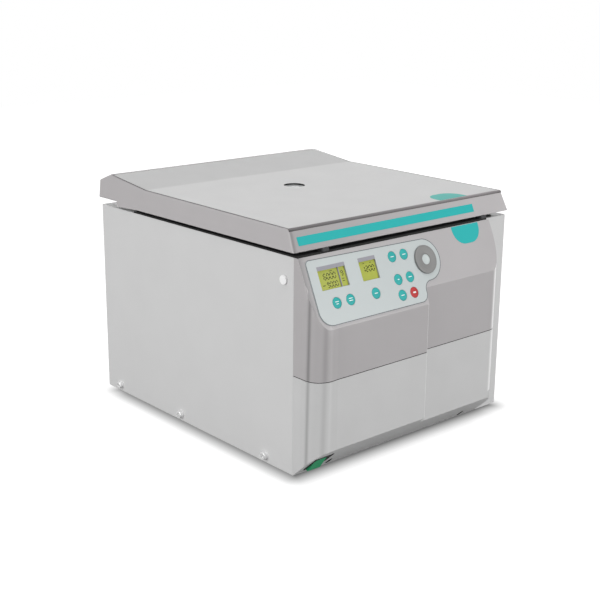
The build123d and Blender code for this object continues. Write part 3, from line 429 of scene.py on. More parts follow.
def gridFaces(rows, columns, wrap=False):
    # quads over a grid of points, row by row; wrap joins the last column to the first
    r, c = np.meshgrid(np.arange(rows - 1), np.arange(columns if wrap else columns - 1), indexing="ij")
    nextColumn = (c + 1) % columns
    quads = np.stack([r * columns + c, r * columns + nextColumn,
                      (r + 1) * columns + nextColumn, (r + 1) * columns + c], axis=-1)
    return quads.reshape(-1, 4)


def ringFaces(count, low=0, high=1):
    # quads that join closed ring number low to ring number high, each of count points
    index = np.arange(count)
    nextIndex = (index + 1) % count
    return np.stack([index + low * count, nextIndex + low * count,
                     nextIndex + high * count, index + high * count], axis=-1)


def prismFaces(count):
    # a flat piece: the two ends of its outline and the rim between them
    index = np.arange(count)
    return [list(index[::-1]), list(index + count), *ringFaces(count).tolist()]


# plane of the slanted control panel: y and z of its top and its foot
slant = {"topY": -6.5, "topZ": 287.1, "footY": -45.0, "footZ": 202.0}
slantRun = slant["topY"] - slant["footY"]
slantRise = slant["topZ"] - slant["footZ"]
slantLength = math.hypot(slantRun, slantRise)


def slantHeight(y):
    # height of the plane at depth y: a straight line from its foot to its top
    return slant["footZ"] + (y - slant["footY"]) * slantRise / slantRun


def onSlant(x, s, height):
    # point at x, s millimetres down the slope and height above it
    x, s, height = np.broadcast_arrays(np.asarray(x, float), np.asarray(s, float), np.asarray(height, float))
    y = slant["topY"] - s * slantRun / slantLength - height * slantRise / slantLength
    z = slant["topZ"] - s * slantRise / slantLength + height * slantRun / slantLength
    return toRow(np.stack([x, y, z], axis=-1))


def slabOnSlant(name, outline, low, high, finishName, bodyName):
    # a thin flat piece: the outline at two heights, closed by a rim
    x, s = np.asarray(outline, float).T
    points = np.concatenate([onSlant(x, s, low), onSlant(x, s, high)])
    piece = addPiece(name, points, prismFaces(len(x)), finishName, bodyName, smooth=False)
    fixNormals(piece)
    return piece


def fixNormals(piece):
    # doubles merged, then every face turned outwards
    work = bmesh.new()
    work.from_mesh(piece.data)
    bmesh.ops.remove_doubles(work, verts=work.verts, dist=1e-7)
    bmesh.ops.recalc_face_normals(work, faces=work.faces)
    work.to_mesh(piece.data)
    work.free()


def joinPieces(name, parts):
    # several small meshes become one piece
    vertices, faces, start = [], [], 0
    for part in parts:
        data = part.data
        co = np.zeros(len(data.vertices) * 3)
        data.vertices.foreach_get("co", co)
        vertices.append(co.reshape(-1, 3))
        faces += [[vertex + start for vertex in polygon.vertices] for polygon in data.polygons]
        start += len(data.vertices)
    first = parts[0]
    made = addPiece(name, np.concatenate(vertices), faces, first.data.materials[0].name, first["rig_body"],
                    smooth=False)
    for part in parts:
        bpy.data.objects.remove(part)
    return made


# round keys; places are x and the distance down the slope, low and top are heights above the plane
keypad = {
    "radius": 7.1,
    "crown": 0.5,
    "low": -3.3,
    "top": 1.3,
    "edge": 0.54,
    "symbolSink": 0.12,
    "symbolLift": 0.06,
    "places": {
        "key_lid": (-158.2, 63.0),
        "key_program": (-135.0, 63.0),
        "key_time": (-90.4, 63.0),
        "key_temperature": (-46.0, 22.3),
        "key_radius": (-24.2, 22.3),
        "key_brake": (-46.0, 52.7),
        "key_quick_run": (-24.2, 52.7),
        "key_start": (-46.0, 73.8),
        "key_stop": (-24.2, 73.8),
    },
}


poleRadius = 0.001    # where a turned shape meets its axis


def turnedOnSlant(name, centre, profile, finishName, bodyName, nodeNames, steps=72):
    # surface of revolution: point = centre + radius(t) * (cos a, sin a), at height(t)
    radius, height = np.asarray(profile, float).T
    angle = np.linspace(0, 2 * np.pi, steps, endpoint=False)
    x = centre[0] + radius[:, None] * np.cos(angle)
    s = centre[1] + radius[:, None] * np.sin(angle)
    points = onSlant(x, s, np.repeat(height[:, None], steps, axis=1)).reshape(-1, 3)
    faces = [list(face) for face in gridFaces(len(radius), steps, wrap=True)]
    piece = addPiece(name, points, faces, finishName, bodyName, nodeNames)
    fixNormals(piece)
    return piece


def roundedSide(outer, low, high, edge, steps):
    # profile of a disc: out along its base, up its side and over a round edge
    turn = np.linspace(0, np.pi / 2, steps)
    roll = np.stack([outer - edge + edge * np.cos(turn), high - edge + edge * np.sin(turn)], axis=-1)
    return np.concatenate([[(poleRadius, low), (outer, low), (outer, high - edge)], roll])


def crownedTop(outer, high, crown, steps=8):
    # profile from a round edge to the centre: height = high + crown * (1 - (radius / outer) ^ 2)
    across = np.linspace(outer, poleRadius, steps)[1:]
    return np.stack([across, high + crown * (1 - (across / outer) ** 2)], axis=-1)


keyShoulder = keypad["top"] - keypad["crown"]
keyProfile = np.concatenate([roundedSide(keypad["radius"], keypad["low"], keyShoulder, keypad["edge"], 6),
                             crownedTop(keypad["radius"] - keypad["edge"], keyShoulder, keypad["crown"])])
for keyName, centre in keypad["places"].items():
    finishName = "keyRed" if keyName == "key_stop" else "keyTeal"
    piece = turnedOnSlant("cap_" + keyName, centre, keyProfile, finishName, keyName + "_body", [keyName], 48)
print("keys")


def bar(centreX, centreS, width, height):
    # rectangle about its centre
    halfWidth, halfHeight = width / 2, height / 2
    return np.array([(centreX - halfWidth, centreS - halfHeight), (centreX + halfWidth, centreS - halfHeight),
                     (centreX + halfWidth, centreS + halfHeight), (centreX - halfWidth, centreS + halfHeight)])


# plain printed bars: x and s of each from the key's centre, its width and its height
keySymbols = {
    "key_lid": [(0, -1.4, 5.6, 1.0), (0, 1.4, 3.6, 1.0)],
    "key_program": [(0, -1.6, 6.4, 1.0), (0, 1.2, 6.4, 1.0)],
    "key_time": [(0, 0, 5.6, 1.1)],
    "key_temperature": [(0, 0, 5.8, 1.1)],
    "key_radius": [(0, 0, 5.8, 1.1)],
    "key_brake": [(0, 0, 3.0, 1.1)],
    "key_quick_run": [(0, 0, 6.2, 1.1)],
    "key_start": [(0, 0, 5.6, 1.1)],
    "key_stop": [(0, 0, 5.0, 2.0)],
}
for keyName, bars in keySymbols.items():
    centreX, centreS = keypad["places"][keyName]
    low, high = keypad["top"] - keypad["symbolSink"], keypad["top"] + keypad["symbolLift"]
    parts = [slabOnSlant("part", bar(centreX + dx, centreS + ds, width, height), low, high,
                         "symbolInk", keyName + "_body") for dx, ds, width, height in bars]
    joinPieces("symbol_" + keyName, parts)
print("key symbols")

# speed dial: a ring with a round edge, and a dished cap in the well at its middle
dial = {
    "x": 11.5, "s": 35.3, "radius": 19.2, "low": 1.1, "top": 3.5, "edge": 0.9,
    "well": [(0.9, 0.0), (0.3, -0.3), (0.2, -1.2)],    # radius past the cap, height against the ring's top
    "capRadius": 7.0, "capLow": 2.3, "capTop": 3.0,
    "dish": [(0.0, -0.3), (-0.3, 0.0), (-1.5, -0.1), (-4.0, -0.45)],    # the same against the cap's top
    "dishDepth": 0.55,
}
dialProfile = np.concatenate([
    roundedSide(dial["radius"], dial["low"], dial["top"], dial["edge"], 7),
    [(dial["capRadius"] + past, dial["top"] + drop) for past, drop in dial["well"]],
    [(poleRadius, dial["top"] + dial["well"][-1][1])],
])
piece = turnedOnSlant("dialRing", (dial["x"], dial["s"]), dialProfile, "dialGrey", "dial", ["speed_dial"], 128)
dishProfile = [
    (poleRadius, dial["capLow"]), (dial["capRadius"], dial["capLow"]),
    *[(dial["capRadius"] + past, dial["capTop"] + drop) for past, drop in dial["dish"]],
    (poleRadius, dial["capTop"] - dial["dishDepth"]),
]
piece = turnedOnSlant("dialDish", (dial["x"], dial["s"]), dishProfile, "dialCentre", "dial", ["dial_cap"], 72)
print("dial")


# printed line round the control membrane: the sides of the outline, its corner radii, the lobe round the dial
membrane = {
    "left": -191.2, "right": -1.0, "top": 4.5, "bottom": 89.4,
    "smallCorner": 6.0, "largeCorner": 20.0, "rightCorner": 12.0, "lobeRadius": 28.5, "neckRadius": 12.0,
    "line": 1.0, "lineTop": 0.86, "lineDepth": 0.05,
}


def arc(centreX, centreS, radius, startDegrees, endDegrees, steps=16):
    # points round a centre from one angle to the other
    angle = np.radians(np.linspace(startDegrees, endDegrees, steps))
    return np.stack([centreX + radius * np.cos(angle), centreS + radius * np.sin(angle)], axis=-1)


def membraneOutline(inset):
    # outline in (x, s): rounded corners, the lobe round the dial and the hollow curve below it
    left, right = membrane["left"] + inset, membrane["right"] - inset
    top, bottom = membrane["top"] + inset, membrane["bottom"] - inset
    small, large = membrane["smallCorner"] - inset, membrane["largeCorner"] - inset
    rightCorner, lobe = membrane["rightCorner"] - inset, membrane["lobeRadius"] - inset
    neck = membrane["neckRadius"] + inset
    neckX = right + neck
    neckS = dial["s"] + math.sqrt((lobe + neck) ** 2 - (neckX - dial["x"]) ** 2)
    meet = math.degrees(math.atan2(neckS - dial["s"], neckX - dial["x"]))
    return np.concatenate([
        arc(left + small, top + small, small, 180, 270),
        arc(dial["x"], dial["s"], lobe, -90, meet, 48)[2:],    # less two, so that the top line runs into it
        arc(neckX, neckS, neck, meet + 180, 180, 12),
        arc(right - rightCorner, bottom - rightCorner, rightCorner, 0, 90),
        arc(left + large, bottom - large, large, 90, 180),
    ])


outlines = membraneOutline(0.0), membraneOutline(membrane["line"])
points = np.concatenate([onSlant(outline[:, 0], outline[:, 1], height)
                         for height in (membrane["lineTop"], membrane["lineTop"] - membrane["lineDepth"])
                         for outline in outlines])
strip = np.concatenate([ringFaces(len(outlines[0]), low, high)
                        for low, high in ((0, 1), (2, 3), (0, 2), (1, 3))])
edgeLine = addPiece("membraneLine", points, strip, "membraneEdge", "housing", smooth=False)
fixNormals(edgeLine)

# displays: the sides of each window, and heights above the plane
windows = {
    "speed": {"box": (-176.0, -129.5, 15.0, 45.0), "divider": -141.3},
    "time": {"box": (-106.0, -76.0, 15.0, 45.0), "divider": None},
}
display = {
    "glass": -1.4, "ink": -1.28,
    "headerDepth": 5.0, "headerTop": 0.75, "dividerWidth": 1.1, "dividerTop": 0.0,
    "captionShift": -3.0, "captionShare": 0.3, "captionHeight": 1.3, "captionLow": 0.74, "captionTop": 0.8,
}
for windowName, window in windows.items():
    x0, x1, s0, s1 = window["box"]
    header, glass = display["headerDepth"], display["glass"]
    centreX, headerS = (x0 + x1) / 2, s0 + header / 2
    # the header, the upright divider if there is one, and a plain pale caption bar printed on the header
    slabs = [(bar(centreX, headerS, x1 - x0, header), glass, display["headerTop"], "windowBar")]
    if window["divider"]:
        upright = bar(window["divider"], (s0 + header + s1) / 2, display["dividerWidth"], s1 - s0 - header)
        slabs.append((upright, glass, display["dividerTop"], "windowBar"))
    slabs.append((bar(centreX + display["captionShift"], headerS, (x1 - x0) * display["captionShare"],
                      display["captionHeight"]), display["captionLow"], display["captionTop"], "symbolInk"))
    joinPieces("windowBars_" + windowName, [slabOnSlant("part", *slab, "housing") for slab in slabs])

# segments that each numeral lights: a top, b upper right, c lower right, d bottom, e lower left,
# f upper left, g middle
numeralSegments = {"0": "abcdef", "1": "bc", "2": "abged", "5": "afgcd", "6": "afgedc", "9": "abcdfg"}


def numeral(mark, x, s, height, thick):
    # bars of one seven-segment numeral, x and s at its upper left
    width = height * 0.52
    gap = thick * 0.25
    half = height / 2
    across = (width - thick - gap, thick)
    upright = (thick, half - thick - gap)
    bars = {
        "a": (x + width / 2, s, *across),
        "g": (x + width / 2, s + half, *across),
        "d": (x + width / 2, s + height, *across),
        "f": (x, s + half / 2, *upright),
        "b": (x + width, s + half / 2, *upright),
        "e": (x, s + half * 1.5, *upright),
        "c": (x + width, s + half * 1.5, *upright),
    }
    return [bars[segment] for segment in numeralSegments[mark]]


def displayNumber(name, text, x, s, height, thick, pitch, extras=()):
    # numerals side by side, after any loose bars
    bars = list(extras)
    for place, mark in enumerate(text):
        bars += numeral(mark, x + place * pitch, s, height, thick)
    parts = [slabOnSlant("part", bar(*each), display["glass"], display["ink"], "displayInk", "housing")
             for each in bars]
    return joinPieces(name, parts)


displayNumber("speedNumber", "6000", -166.5, 25.0, 7.2, 1.15, 5.4,
              extras=[(-153.0, 22.6, 5.0, 0.8), (-161.0, 37.5, 3.4, 0.9)])
displayNumber("speedSetNumber", "5000", -163.5, 36.0, 6.4, 1.0, 4.8,
              extras=[(-169.0, 39.2, 4.0, 0.9)])
displayNumber("modeNumber", "9", -136.8, 25.0, 6.0, 1.0, 4.0,
              extras=[(-135.4, 35.0, 3.6, 0.8), (-135.4, 38.0, 3.6, 0.8)])
displayNumber("timeNumber", "1200", -100.0, 26.5, 7.2, 1.15, 5.6,
              extras=[(-91.2, 28.6, 0.8, 0.8), (-91.2, 31.6, 0.8, 0.8),
                      (-96.0, 22.8, 3.0, 0.7), (-84.0, 22.8, 3.0, 0.7)])
print("membrane line and displays")


# teal film on the leaning front of the lid
lidFront = {"bottomY": -2.0, "bottomZ": 293.3, "topY": 10.8, "topZ": 320.8}
stripe = {"left": -191.5, "right": 135.0, "lowZ": 299.9, "highZ": 310.2, "lift": 0.12,
          "columns": 60, "rows": 4}


def onLidFront(x, z, lift):
    # point on the leaning lid front at height z, lifted out along its normal
    run, rise = lidFront["topY"] - lidFront["bottomY"], lidFront["topZ"] - lidFront["bottomZ"]
    length = math.hypot(run, rise)
    y = lidFront["bottomY"] + (z - lidFront["bottomZ"]) * run / rise - lift * rise / length
    return toRow(np.stack(np.broadcast_arrays(x, y, z + lift * run / length), axis=-1))


x, z = np.meshgrid(np.linspace(stripe["left"], stripe["right"], stripe["columns"]),
                   np.linspace(stripe["lowZ"], stripe["highZ"], stripe["rows"]))
points = onLidFront(x, z, stripe["lift"]).reshape(-1, 3)
stripePiece = addPiece("lidStripe", points, gridFaces(stripe["rows"], stripe["columns"]), "tealFilm", "lid")
fixNormals(stripePiece)

# plain rounded tabs of the same film: one below the lid edge, one on the lid top
tab = {"x0": 78.0, "x1": 133.0, "s0": 0.6, "s1": 26.5, "corner": 22.0, "thickness": 0.15,
       "topY0": 13.8, "topY1": 45.0, "topLow": 0.02, "topHigh": 0.14}


def tabOutline(start, end):
    # a straight edge at start, then two round corners towards end
    x0, x1, corner = tab["x0"], tab["x1"], tab["corner"]
    return np.concatenate([[(x0, start), (x1, start)],
                           arc(x1 - corner, end - corner, corner, 0, 90, 18),
                           arc(x0 + corner, end - corner, corner, 90, 180, 18)])


slabOnSlant("fasciaTab", tabOutline(tab["s0"], tab["s1"]), 0.0, tab["thickness"], "tealFilm", "housing")

# profile of the lid top from its front edge over the crease to the peak at the rear
lidTop = {"frontY": 10.8, "frontZ": 320.8, "creaseY": 320.0, "creaseZ": 324.4, "peakY": 409.3, "peakZ": 335.4}


def lidTopHeight(y):
    # height of the lid top at depth y: two straight slopes that meet at the crease
    frontY, creaseY, peakY = lidTop["frontY"], lidTop["creaseY"], lidTop["peakY"]
    frontZ, creaseZ, peakZ = lidTop["frontZ"], lidTop["creaseZ"], lidTop["peakZ"]
    flat = frontZ + (y - frontY) * (creaseZ - frontZ) / (creaseY - frontY)
    steep = creaseZ + (y - creaseY) * (peakZ - creaseZ) / (peakY - creaseY)
    return np.where(y < creaseY, flat, steep)


lidTabOutline = tabOutline(tab["topY0"], tab["topY1"])
level = lidTopHeight(lidTabOutline[:, 1])
lidTabPoints = np.concatenate([toRow(np.column_stack([lidTabOutline, level + tab["topLow"]])),
                               toRow(np.column_stack([lidTabOutline, level + tab["topHigh"]]))])
fixNormals(addPiece("lidTab", lidTabPoints, prismFaces(len(lidTabOutline)), "tealPale", "lid", smooth=False))
print("teal films")


# thin skin with painted shade round the front edge of the lid, from below the bend to above it
lidEdge = {"half": 201.7, "cornerRadius": 3.0, "below": 1.7, "above": 0.6, "lift": 0.1, "skin": 0.08,
           "bendSteps": 10, "columns": 24}


def lidEdgeBand():
    # profile: down the leaning front, round the corner of the given radius, a little way over the top
    frontRun = np.array([lidFront["topY"] - lidFront["bottomY"], lidFront["topZ"] - lidFront["bottomZ"]])
    topRun = np.array([lidTop["creaseY"] - lidTop["frontY"], lidTop["creaseZ"] - lidTop["frontZ"]])
    frontRun, topRun = frontRun / np.linalg.norm(frontRun), topRun / np.linalg.norm(topRun)
    turnAngle = math.acos(float(frontRun @ topRun))
    reach = lidEdge["cornerRadius"] * math.tan(turnAngle / 2)
    corner = np.array([lidTop["frontY"], lidTop["frontZ"]])
    outward = np.array([-frontRun[1], frontRun[0]])
    middle = corner - frontRun * reach - outward * lidEdge["cornerRadius"]
    start = math.atan2(outward[1], outward[0])
    angle = np.linspace(start, start - turnAngle, lidEdge["bendSteps"])
    radius = lidEdge["cornerRadius"] + lidEdge["lift"]
    bend = middle + radius * np.column_stack([np.cos(angle), np.sin(angle)])
    low = bend[0] - frontRun * lidEdge["below"]
    high = bend[-1] + topRun * lidEdge["above"]
    profile = np.vstack([low, bend, high])
    # the profile is carried straight along x
    x = np.broadcast_to(bodyMiddle + np.linspace(-1, 1, lidEdge["columns"]) * lidEdge["half"],
                        (len(profile), lidEdge["columns"]))
    y, z = (np.repeat(profile[:, axis:axis + 1], lidEdge["columns"], axis=1) for axis in (0, 1))
    return toRow(np.stack([x, y, z], axis=-1)).reshape(-1, 3), len(profile)


bandPoints, bandRows = lidEdgeBand()
band = addPiece("lidEdgeBand", bandPoints, gridFaces(bandRows, lidEdge["columns"]), "edgeBand", "lid")
fixNormals(band)
bandShell = band.modifiers.new("skin", "SOLIDIFY")
bandShell.thickness = lidEdge["skin"] * millimetre
bandShell.offset = -1

# dark strip along the joint between the lid plate and the frame on both sides, from the front edge to the rear
# one: painted shade that stands for the shade in the joint
joint = {"x": 200.2, "width": 1.5, "frontY": 13.0, "rearY": 405.3, "lift": 0.05}
jointY = np.concatenate([np.linspace(joint["frontY"], lidTop["creaseY"], 12),
                         np.linspace(lidTop["creaseY"], joint["rearY"], 6)[1:]])
jointZ = lidTopHeight(jointY) + joint["lift"]
for sideName, sideSign in (("left", -1), ("right", 1)):
    edges = [bodyMiddle + sideSign * (joint["x"] + half * joint["width"] / 2) for half in (-1, 1)]
    rows = [np.column_stack([np.full_like(jointY, edge), jointY, jointZ]) for edge in edges]
    fixNormals(addPiece("plateJoint_" + sideName, toRow(np.vstack(rows)), gridFaces(2, len(jointY)),
                        "jointShade", "lid"))

# black ring down the wall of the recess round the sight glass
sight = {"x": -6.0, "y": 220.0, "radius": 15.4, "seatDepth": 2.4, "rimDepth": 0.1, "steps": 72}
angle = np.linspace(0, 2 * np.pi, sight["steps"], endpoint=False)
ringX = np.tile(sight["x"] + sight["radius"] * np.cos(angle), 2)
ringY = np.tile(sight["y"] + sight["radius"] * np.sin(angle), 2)
ringZ = lidTopHeight(ringY) - np.repeat([sight["seatDepth"], sight["rimDepth"]], sight["steps"])
fixNormals(addPiece("sightRecessRing", toRow(np.column_stack([ringX, ringY, ringZ])),
                    gridFaces(2, sight["steps"], wrap=True), "blackRubber", "lid"))
print("lid edges")


# black sheet just inside each drain slot of the chin, painted shade that stands for the shade in the slot; the
# chin leans 45 mm forward over a rise of 41.5 mm
# (each slot: x and the lengths up the slope at which it begins and ends)
chin = {"run": 45.0, "rise": 41.5, "depth": -0.12, "thickness": 0.3, "width": 6.0, "inset": -0.4,
        "slots": [(-160.5, 21.0, 45.5), (-144.5, 5.5, 18.0), (115.2, 4.5, 17.0)]}


def chinSlotShade(index, x, low, high):
    # a stadium outline laid in the chin plane: x along the body, s up the slope
    radius = chin["width"] / 2
    outline = np.concatenate([
        arc(x, high - chin["inset"] - radius, radius, 0, 180, 10),
        arc(x, low + chin["inset"] + radius, radius, 180, 360, 10),
    ])
    length = math.hypot(chin["run"], chin["rise"])
    y = (-outline[:, 1] * chin["run"] + chin["depth"] * chin["rise"]) / length
    z = (outline[:, 1] * chin["rise"] + chin["depth"] * chin["run"]) / length
    pad = addPiece("chinSlotShade_" + str(index), toRow(np.column_stack([outline[:, 0], y, z])),
                   [list(range(len(outline)))], "slotShade", "housing", smooth=False)
    skin = pad.modifiers.new("skin", "SOLIDIFY")
    skin.thickness = chin["thickness"] * millimetre
    skin.offset = 0.0
    fixNormals(pad)


for slotIndex, slot in enumerate(chin["slots"]):
    chinSlotShade(slotIndex, *slot)
print("chin pads")

# moulded sleeve that turns the left corner of the bay, with two shallow upright flutes; its colour carries
# painted shade in the flutes and a painted highlight on the crest (each flute: distance round the corner,
# width, depth and share of colour lost to painted shade;
# the crest: distance, width and gain of its painted highlight)
corner = {
    "left": -200.0, "front": -45.0, "bend": 22.0, "flankRun": 8.0, "frontRun": 12.0, "lift": 0.05,
    "swell": 0.5, "rise": 7.0, "lean": 0.015, "leanZ": 90.0, "topFade": 8.0, "topGap": 1.0,
    "chinSlope": 0.9222,
    "flutes": [(3.6, 2.5, 0.44, 0.36), (25.2, 3.6, 0.44, 0.17), (14.0, 8.0, 0.0, 0.05)],
    "crest": (33.8, 1.6, 0.08), "greyShadeGain": 1.35, "lightShadeGain": 1.0, "capDepth": 2.4, "capReach": 2.2,
    "seamZ": (134.8, 135.8), "chartHeight": 300.0, "columns": 90, "rows": 30, "stops": 30,
}
cornerArc = corner["bend"] * math.pi / 2
cornerSpan = corner["flankRun"] + cornerArc + corner["frontRun"]


def bell(distance, width):
    # 1 in the middle, falling off as e to the minus square of the distance in widths
    return np.exp(-((distance / width) ** 2))


def paintedCornerShade(s, strength):
    # share of the base colour at the distance s round the corner, with painted shade in the flutes and a
    # painted highlight at the crest:
    # 1 less a bell at each flute and more at the crest, all divided by 1 + the crest's gain
    place, width, gain = corner["crest"]
    lost = sum(dark * bell(s - at, wide) for at, wide, depth, dark in corner["flutes"])
    return (1 + gain * bell(s - place, width) - strength * lost) / (1 + gain)


def flutedAbs(name, colour, strength):
    # the same ABS as the fascia, with painted shade in its flutes and a painted highlight on the crest, laid
    # out along the first direction of the UV map; strength scales the painted shade
    material = mouldedAbs(name, colour, 0.34)
    tree, shader = openMaterial(material)[:2]
    chart = addNode(tree, "ShaderNodeTexCoord")
    along = addNode(tree, "ShaderNodeSeparateXYZ", links={"Vector": chart.outputs["UV"]})
    position = np.linspace(0, 1, corner["stops"])
    share = paintedCornerShade(position * cornerSpan - corner["flankRun"], strength)
    multiplyRamp(tree, shader, along.outputs["X"], list(zip(position.tolist(), share.tolist())))
    return material


def cornerSleeve(name, finishName, upper):
    # s runs from the flank round the bend to the front; the height over the shell is
    # lift + swell * smooth rise from both ends - a bell at each flute, fading out under the slanted panel
    bend, lift, columns = corner["bend"], corner["lift"], corner["columns"]
    first, last = -corner["flankRun"], cornerArc + corner["frontRun"]
    s = np.linspace(first, last, columns)
    turn = np.clip(s, 0, cornerArc) / bend
    normalX, normalY = -np.cos(turn), -np.sin(turn)
    x = corner["left"] + bend * (1 + normalX) + np.maximum(s - cornerArc, 0)
    y = corner["front"] + bend * (1 + normalY) + np.maximum(-s, 0)
    if upper:
        low = np.full_like(s, corner["seamZ"][1])
        high = slantHeight(y) - corner["topGap"]
    else:
        low = -y * corner["chinSlope"]
        high = np.full_like(s, corner["seamZ"][0])
    way = np.linspace(0, 1, corner["rows"])[:, None]
    z = low + (high - low) * way
    around = s - corner["lean"] * (z - corner["leanZ"])
    ends = np.clip(np.minimum(s - first, last - s) / corner["rise"], 0, 1)
    height = corner["swell"] * ends ** 2 * (3 - 2 * ends) - sum(
        depth * bell(around - at, wide) for at, wide, depth, dark in corner["flutes"])
    if upper:
        height = height * np.clip((high - z) / corner["topFade"], 0, 1)
    height = lift + np.maximum(height, 0)
    points = np.stack([x + normalX * height, y + normalY * height, z], axis=-1)
    if upper:
        # two more rows lap over the edge onto the slanted panel where the bend begins and ends
        near = np.maximum(bell(s, corner["capReach"]), bell(s - cornerArc, corner["capReach"]))
        for inward in (-lift, corner["capDepth"] * near):
            capX, capY = x - normalX * inward, y - normalY * inward
            capZ = slantHeight(capY) + 2 * lift
            points = np.concatenate([points, np.stack([capX, capY, capZ], axis=-1)[None]])
            around, z = np.vstack([around, around[-1:]]), np.vstack([z, capZ[None]])
    faces = gridFaces(len(points), columns)
    sleeve = addPiece(name, toRow(points.reshape(-1, 3)), faces, finishName, "housing")
    mapLayer = sleeve.data.uv_layers.new(name="round")
    chart = np.stack([(around - first) / cornerSpan, z / corner["chartHeight"]], axis=-1)
    chart = np.clip(chart.reshape(-1, 2), 0, 1)
    mapLayer.data.foreach_set("uv", chart[faces.ravel()].ravel())


# the fascia colours with painted shade in the flutes and a painted highlight on the crest
materials["flutedGrey"] = flutedAbs("flutedGrey", "#b1aeaf", corner["greyShadeGain"])
materials["flutedLight"] = flutedAbs("flutedLight", "#c7c7c7", corner["lightShadeGain"])
cornerSleeve("cornerUpper", "flutedGrey", True)
cornerSleeve("cornerLower", "flutedLight", False)
print("corner sleeve")

# black strip that fills the joint between the two fascia shells: painted shade that stands for the shade in
# the joint
seam = {"z": 135.3, "height": 1.0, "inset": 0.3, "left": -200.0, "right": 158.0, "flankY": -1.0,
        "frontLeft": -45.0, "frontRight": -36.0, "step": -2.0, "bend": 22.0, "stepBend": 2.0}


def seamPath():
    # plan of the bay, moved inwards by the inset, from the left flank round to the right one
    inset = seam["inset"]
    left, right = seam["left"] + inset, seam["right"] - inset
    frontLeft, frontRight = seam["frontLeft"] + inset, seam["frontRight"] + inset
    bend, step, stepBend = seam["bend"] - inset, seam["step"] - inset, seam["stepBend"] - inset
    return np.concatenate([
        [(left, seam["flankY"])],
        arc(left + bend, frontLeft + bend, bend, 180, 270, 20),
        arc(step - stepBend, frontLeft + stepBend, stepBend, -90, 0, 6),
        [(step, frontRight)],
        arc(right - bend, frontRight + bend, bend, -90, 0, 20),
        [(right, seam["flankY"])],
    ])


path = seamPath()
seamRows = [np.column_stack([path, np.full(len(path), seam["z"] + side * seam["height"] / 2)])
            for side in (-1, 1)]
fixNormals(addPiece("seamStrip", toRow(np.vstack(seamRows)), gridFaces(2, len(path)), "blackRubber",
                    "housing", smooth=False))
print("seam strip")

# white paper in metres: how far it reaches, and the sides, soft edge and strength of the painted contact
# shadow
paper = {"reach": 4.0, "left": -0.213, "right": 0.262, "front": -0.211, "rear": 0.285, "soft": 0.04,
         "deepest": 0.8, "fall": 1.7, "closeBy": 0.03, "closeOpen": 0.6, "closeKept": 0.7,
         "seenColour": "#848484", "seenGlow": 0.98, "bounceColour": "#b0b0b0"}


def paintedFootprintShadow(tree, position):
    # painted contact shadow: way in = 1 - |max(|position - centre| - (half - soft), 0)| / soft, and
    # the kept light = 1 - deepest * way in ^ fall
    centre = ((paper["left"] + paper["right"]) / 2, (paper["front"] + paper["rear"]) / 2, 0)
    half = ((paper["right"] - paper["left"]) / 2, (paper["rear"] - paper["front"]) / 2, 1)
    inner = tuple(each - paper["soft"] for each in half)
    offset = addNode(tree, "ShaderNodeVectorMath", {"operation": "SUBTRACT"}, {1: centre}, {0: position})
    folded = addNode(tree, "ShaderNodeVectorMath", {"operation": "ABSOLUTE"}, links={0: offset.outputs[0]})
    beyond = addNode(tree, "ShaderNodeVectorMath", {"operation": "SUBTRACT"}, {1: inner},
                     {0: folded.outputs[0]})
    outside = addNode(tree, "ShaderNodeVectorMath", {"operation": "MAXIMUM"}, {1: (0, 0, 0)},
                      {0: beyond.outputs[0]})
    span = addNode(tree, "ShaderNodeVectorMath", {"operation": "LENGTH"}, links={0: outside.outputs[0]})
    wayIn = addNode(tree, "ShaderNodeMapRange", inputs={"From Min": paper["soft"], "From Max": 0.0},
                    links={"Value": span.outputs["Value"]})
    depth = addNode(tree, "ShaderNodeMath", {"operation": "POWER"}, {1: paper["fall"]}, {0: wayIn.outputs[0]})
    kept = addNode(tree, "ShaderNodeMapRange", inputs={"To Min": 1.0, "To Max": 1 - paper["deepest"]},
                   links={"Value": depth.outputs[0]})
    # close to the feet the painted shadow is darker still, where the occlusion node finds little open sky
    openSky = addNode(tree, "ShaderNodeAmbientOcclusion", {"samples": 16}, {"Distance": paper["closeBy"]})
    close = addNode(tree, "ShaderNodeMapRange",
                    inputs={"From Max": paper["closeOpen"], "To Min": paper["closeKept"]},
                    links={"Value": openSky.outputs["AO"]})
    both = addNode(tree, "ShaderNodeMath", {"operation": "MULTIPLY"},
                   links={0: kept.outputs[0], 1: close.outputs[0]})
    return both.outputs[0]


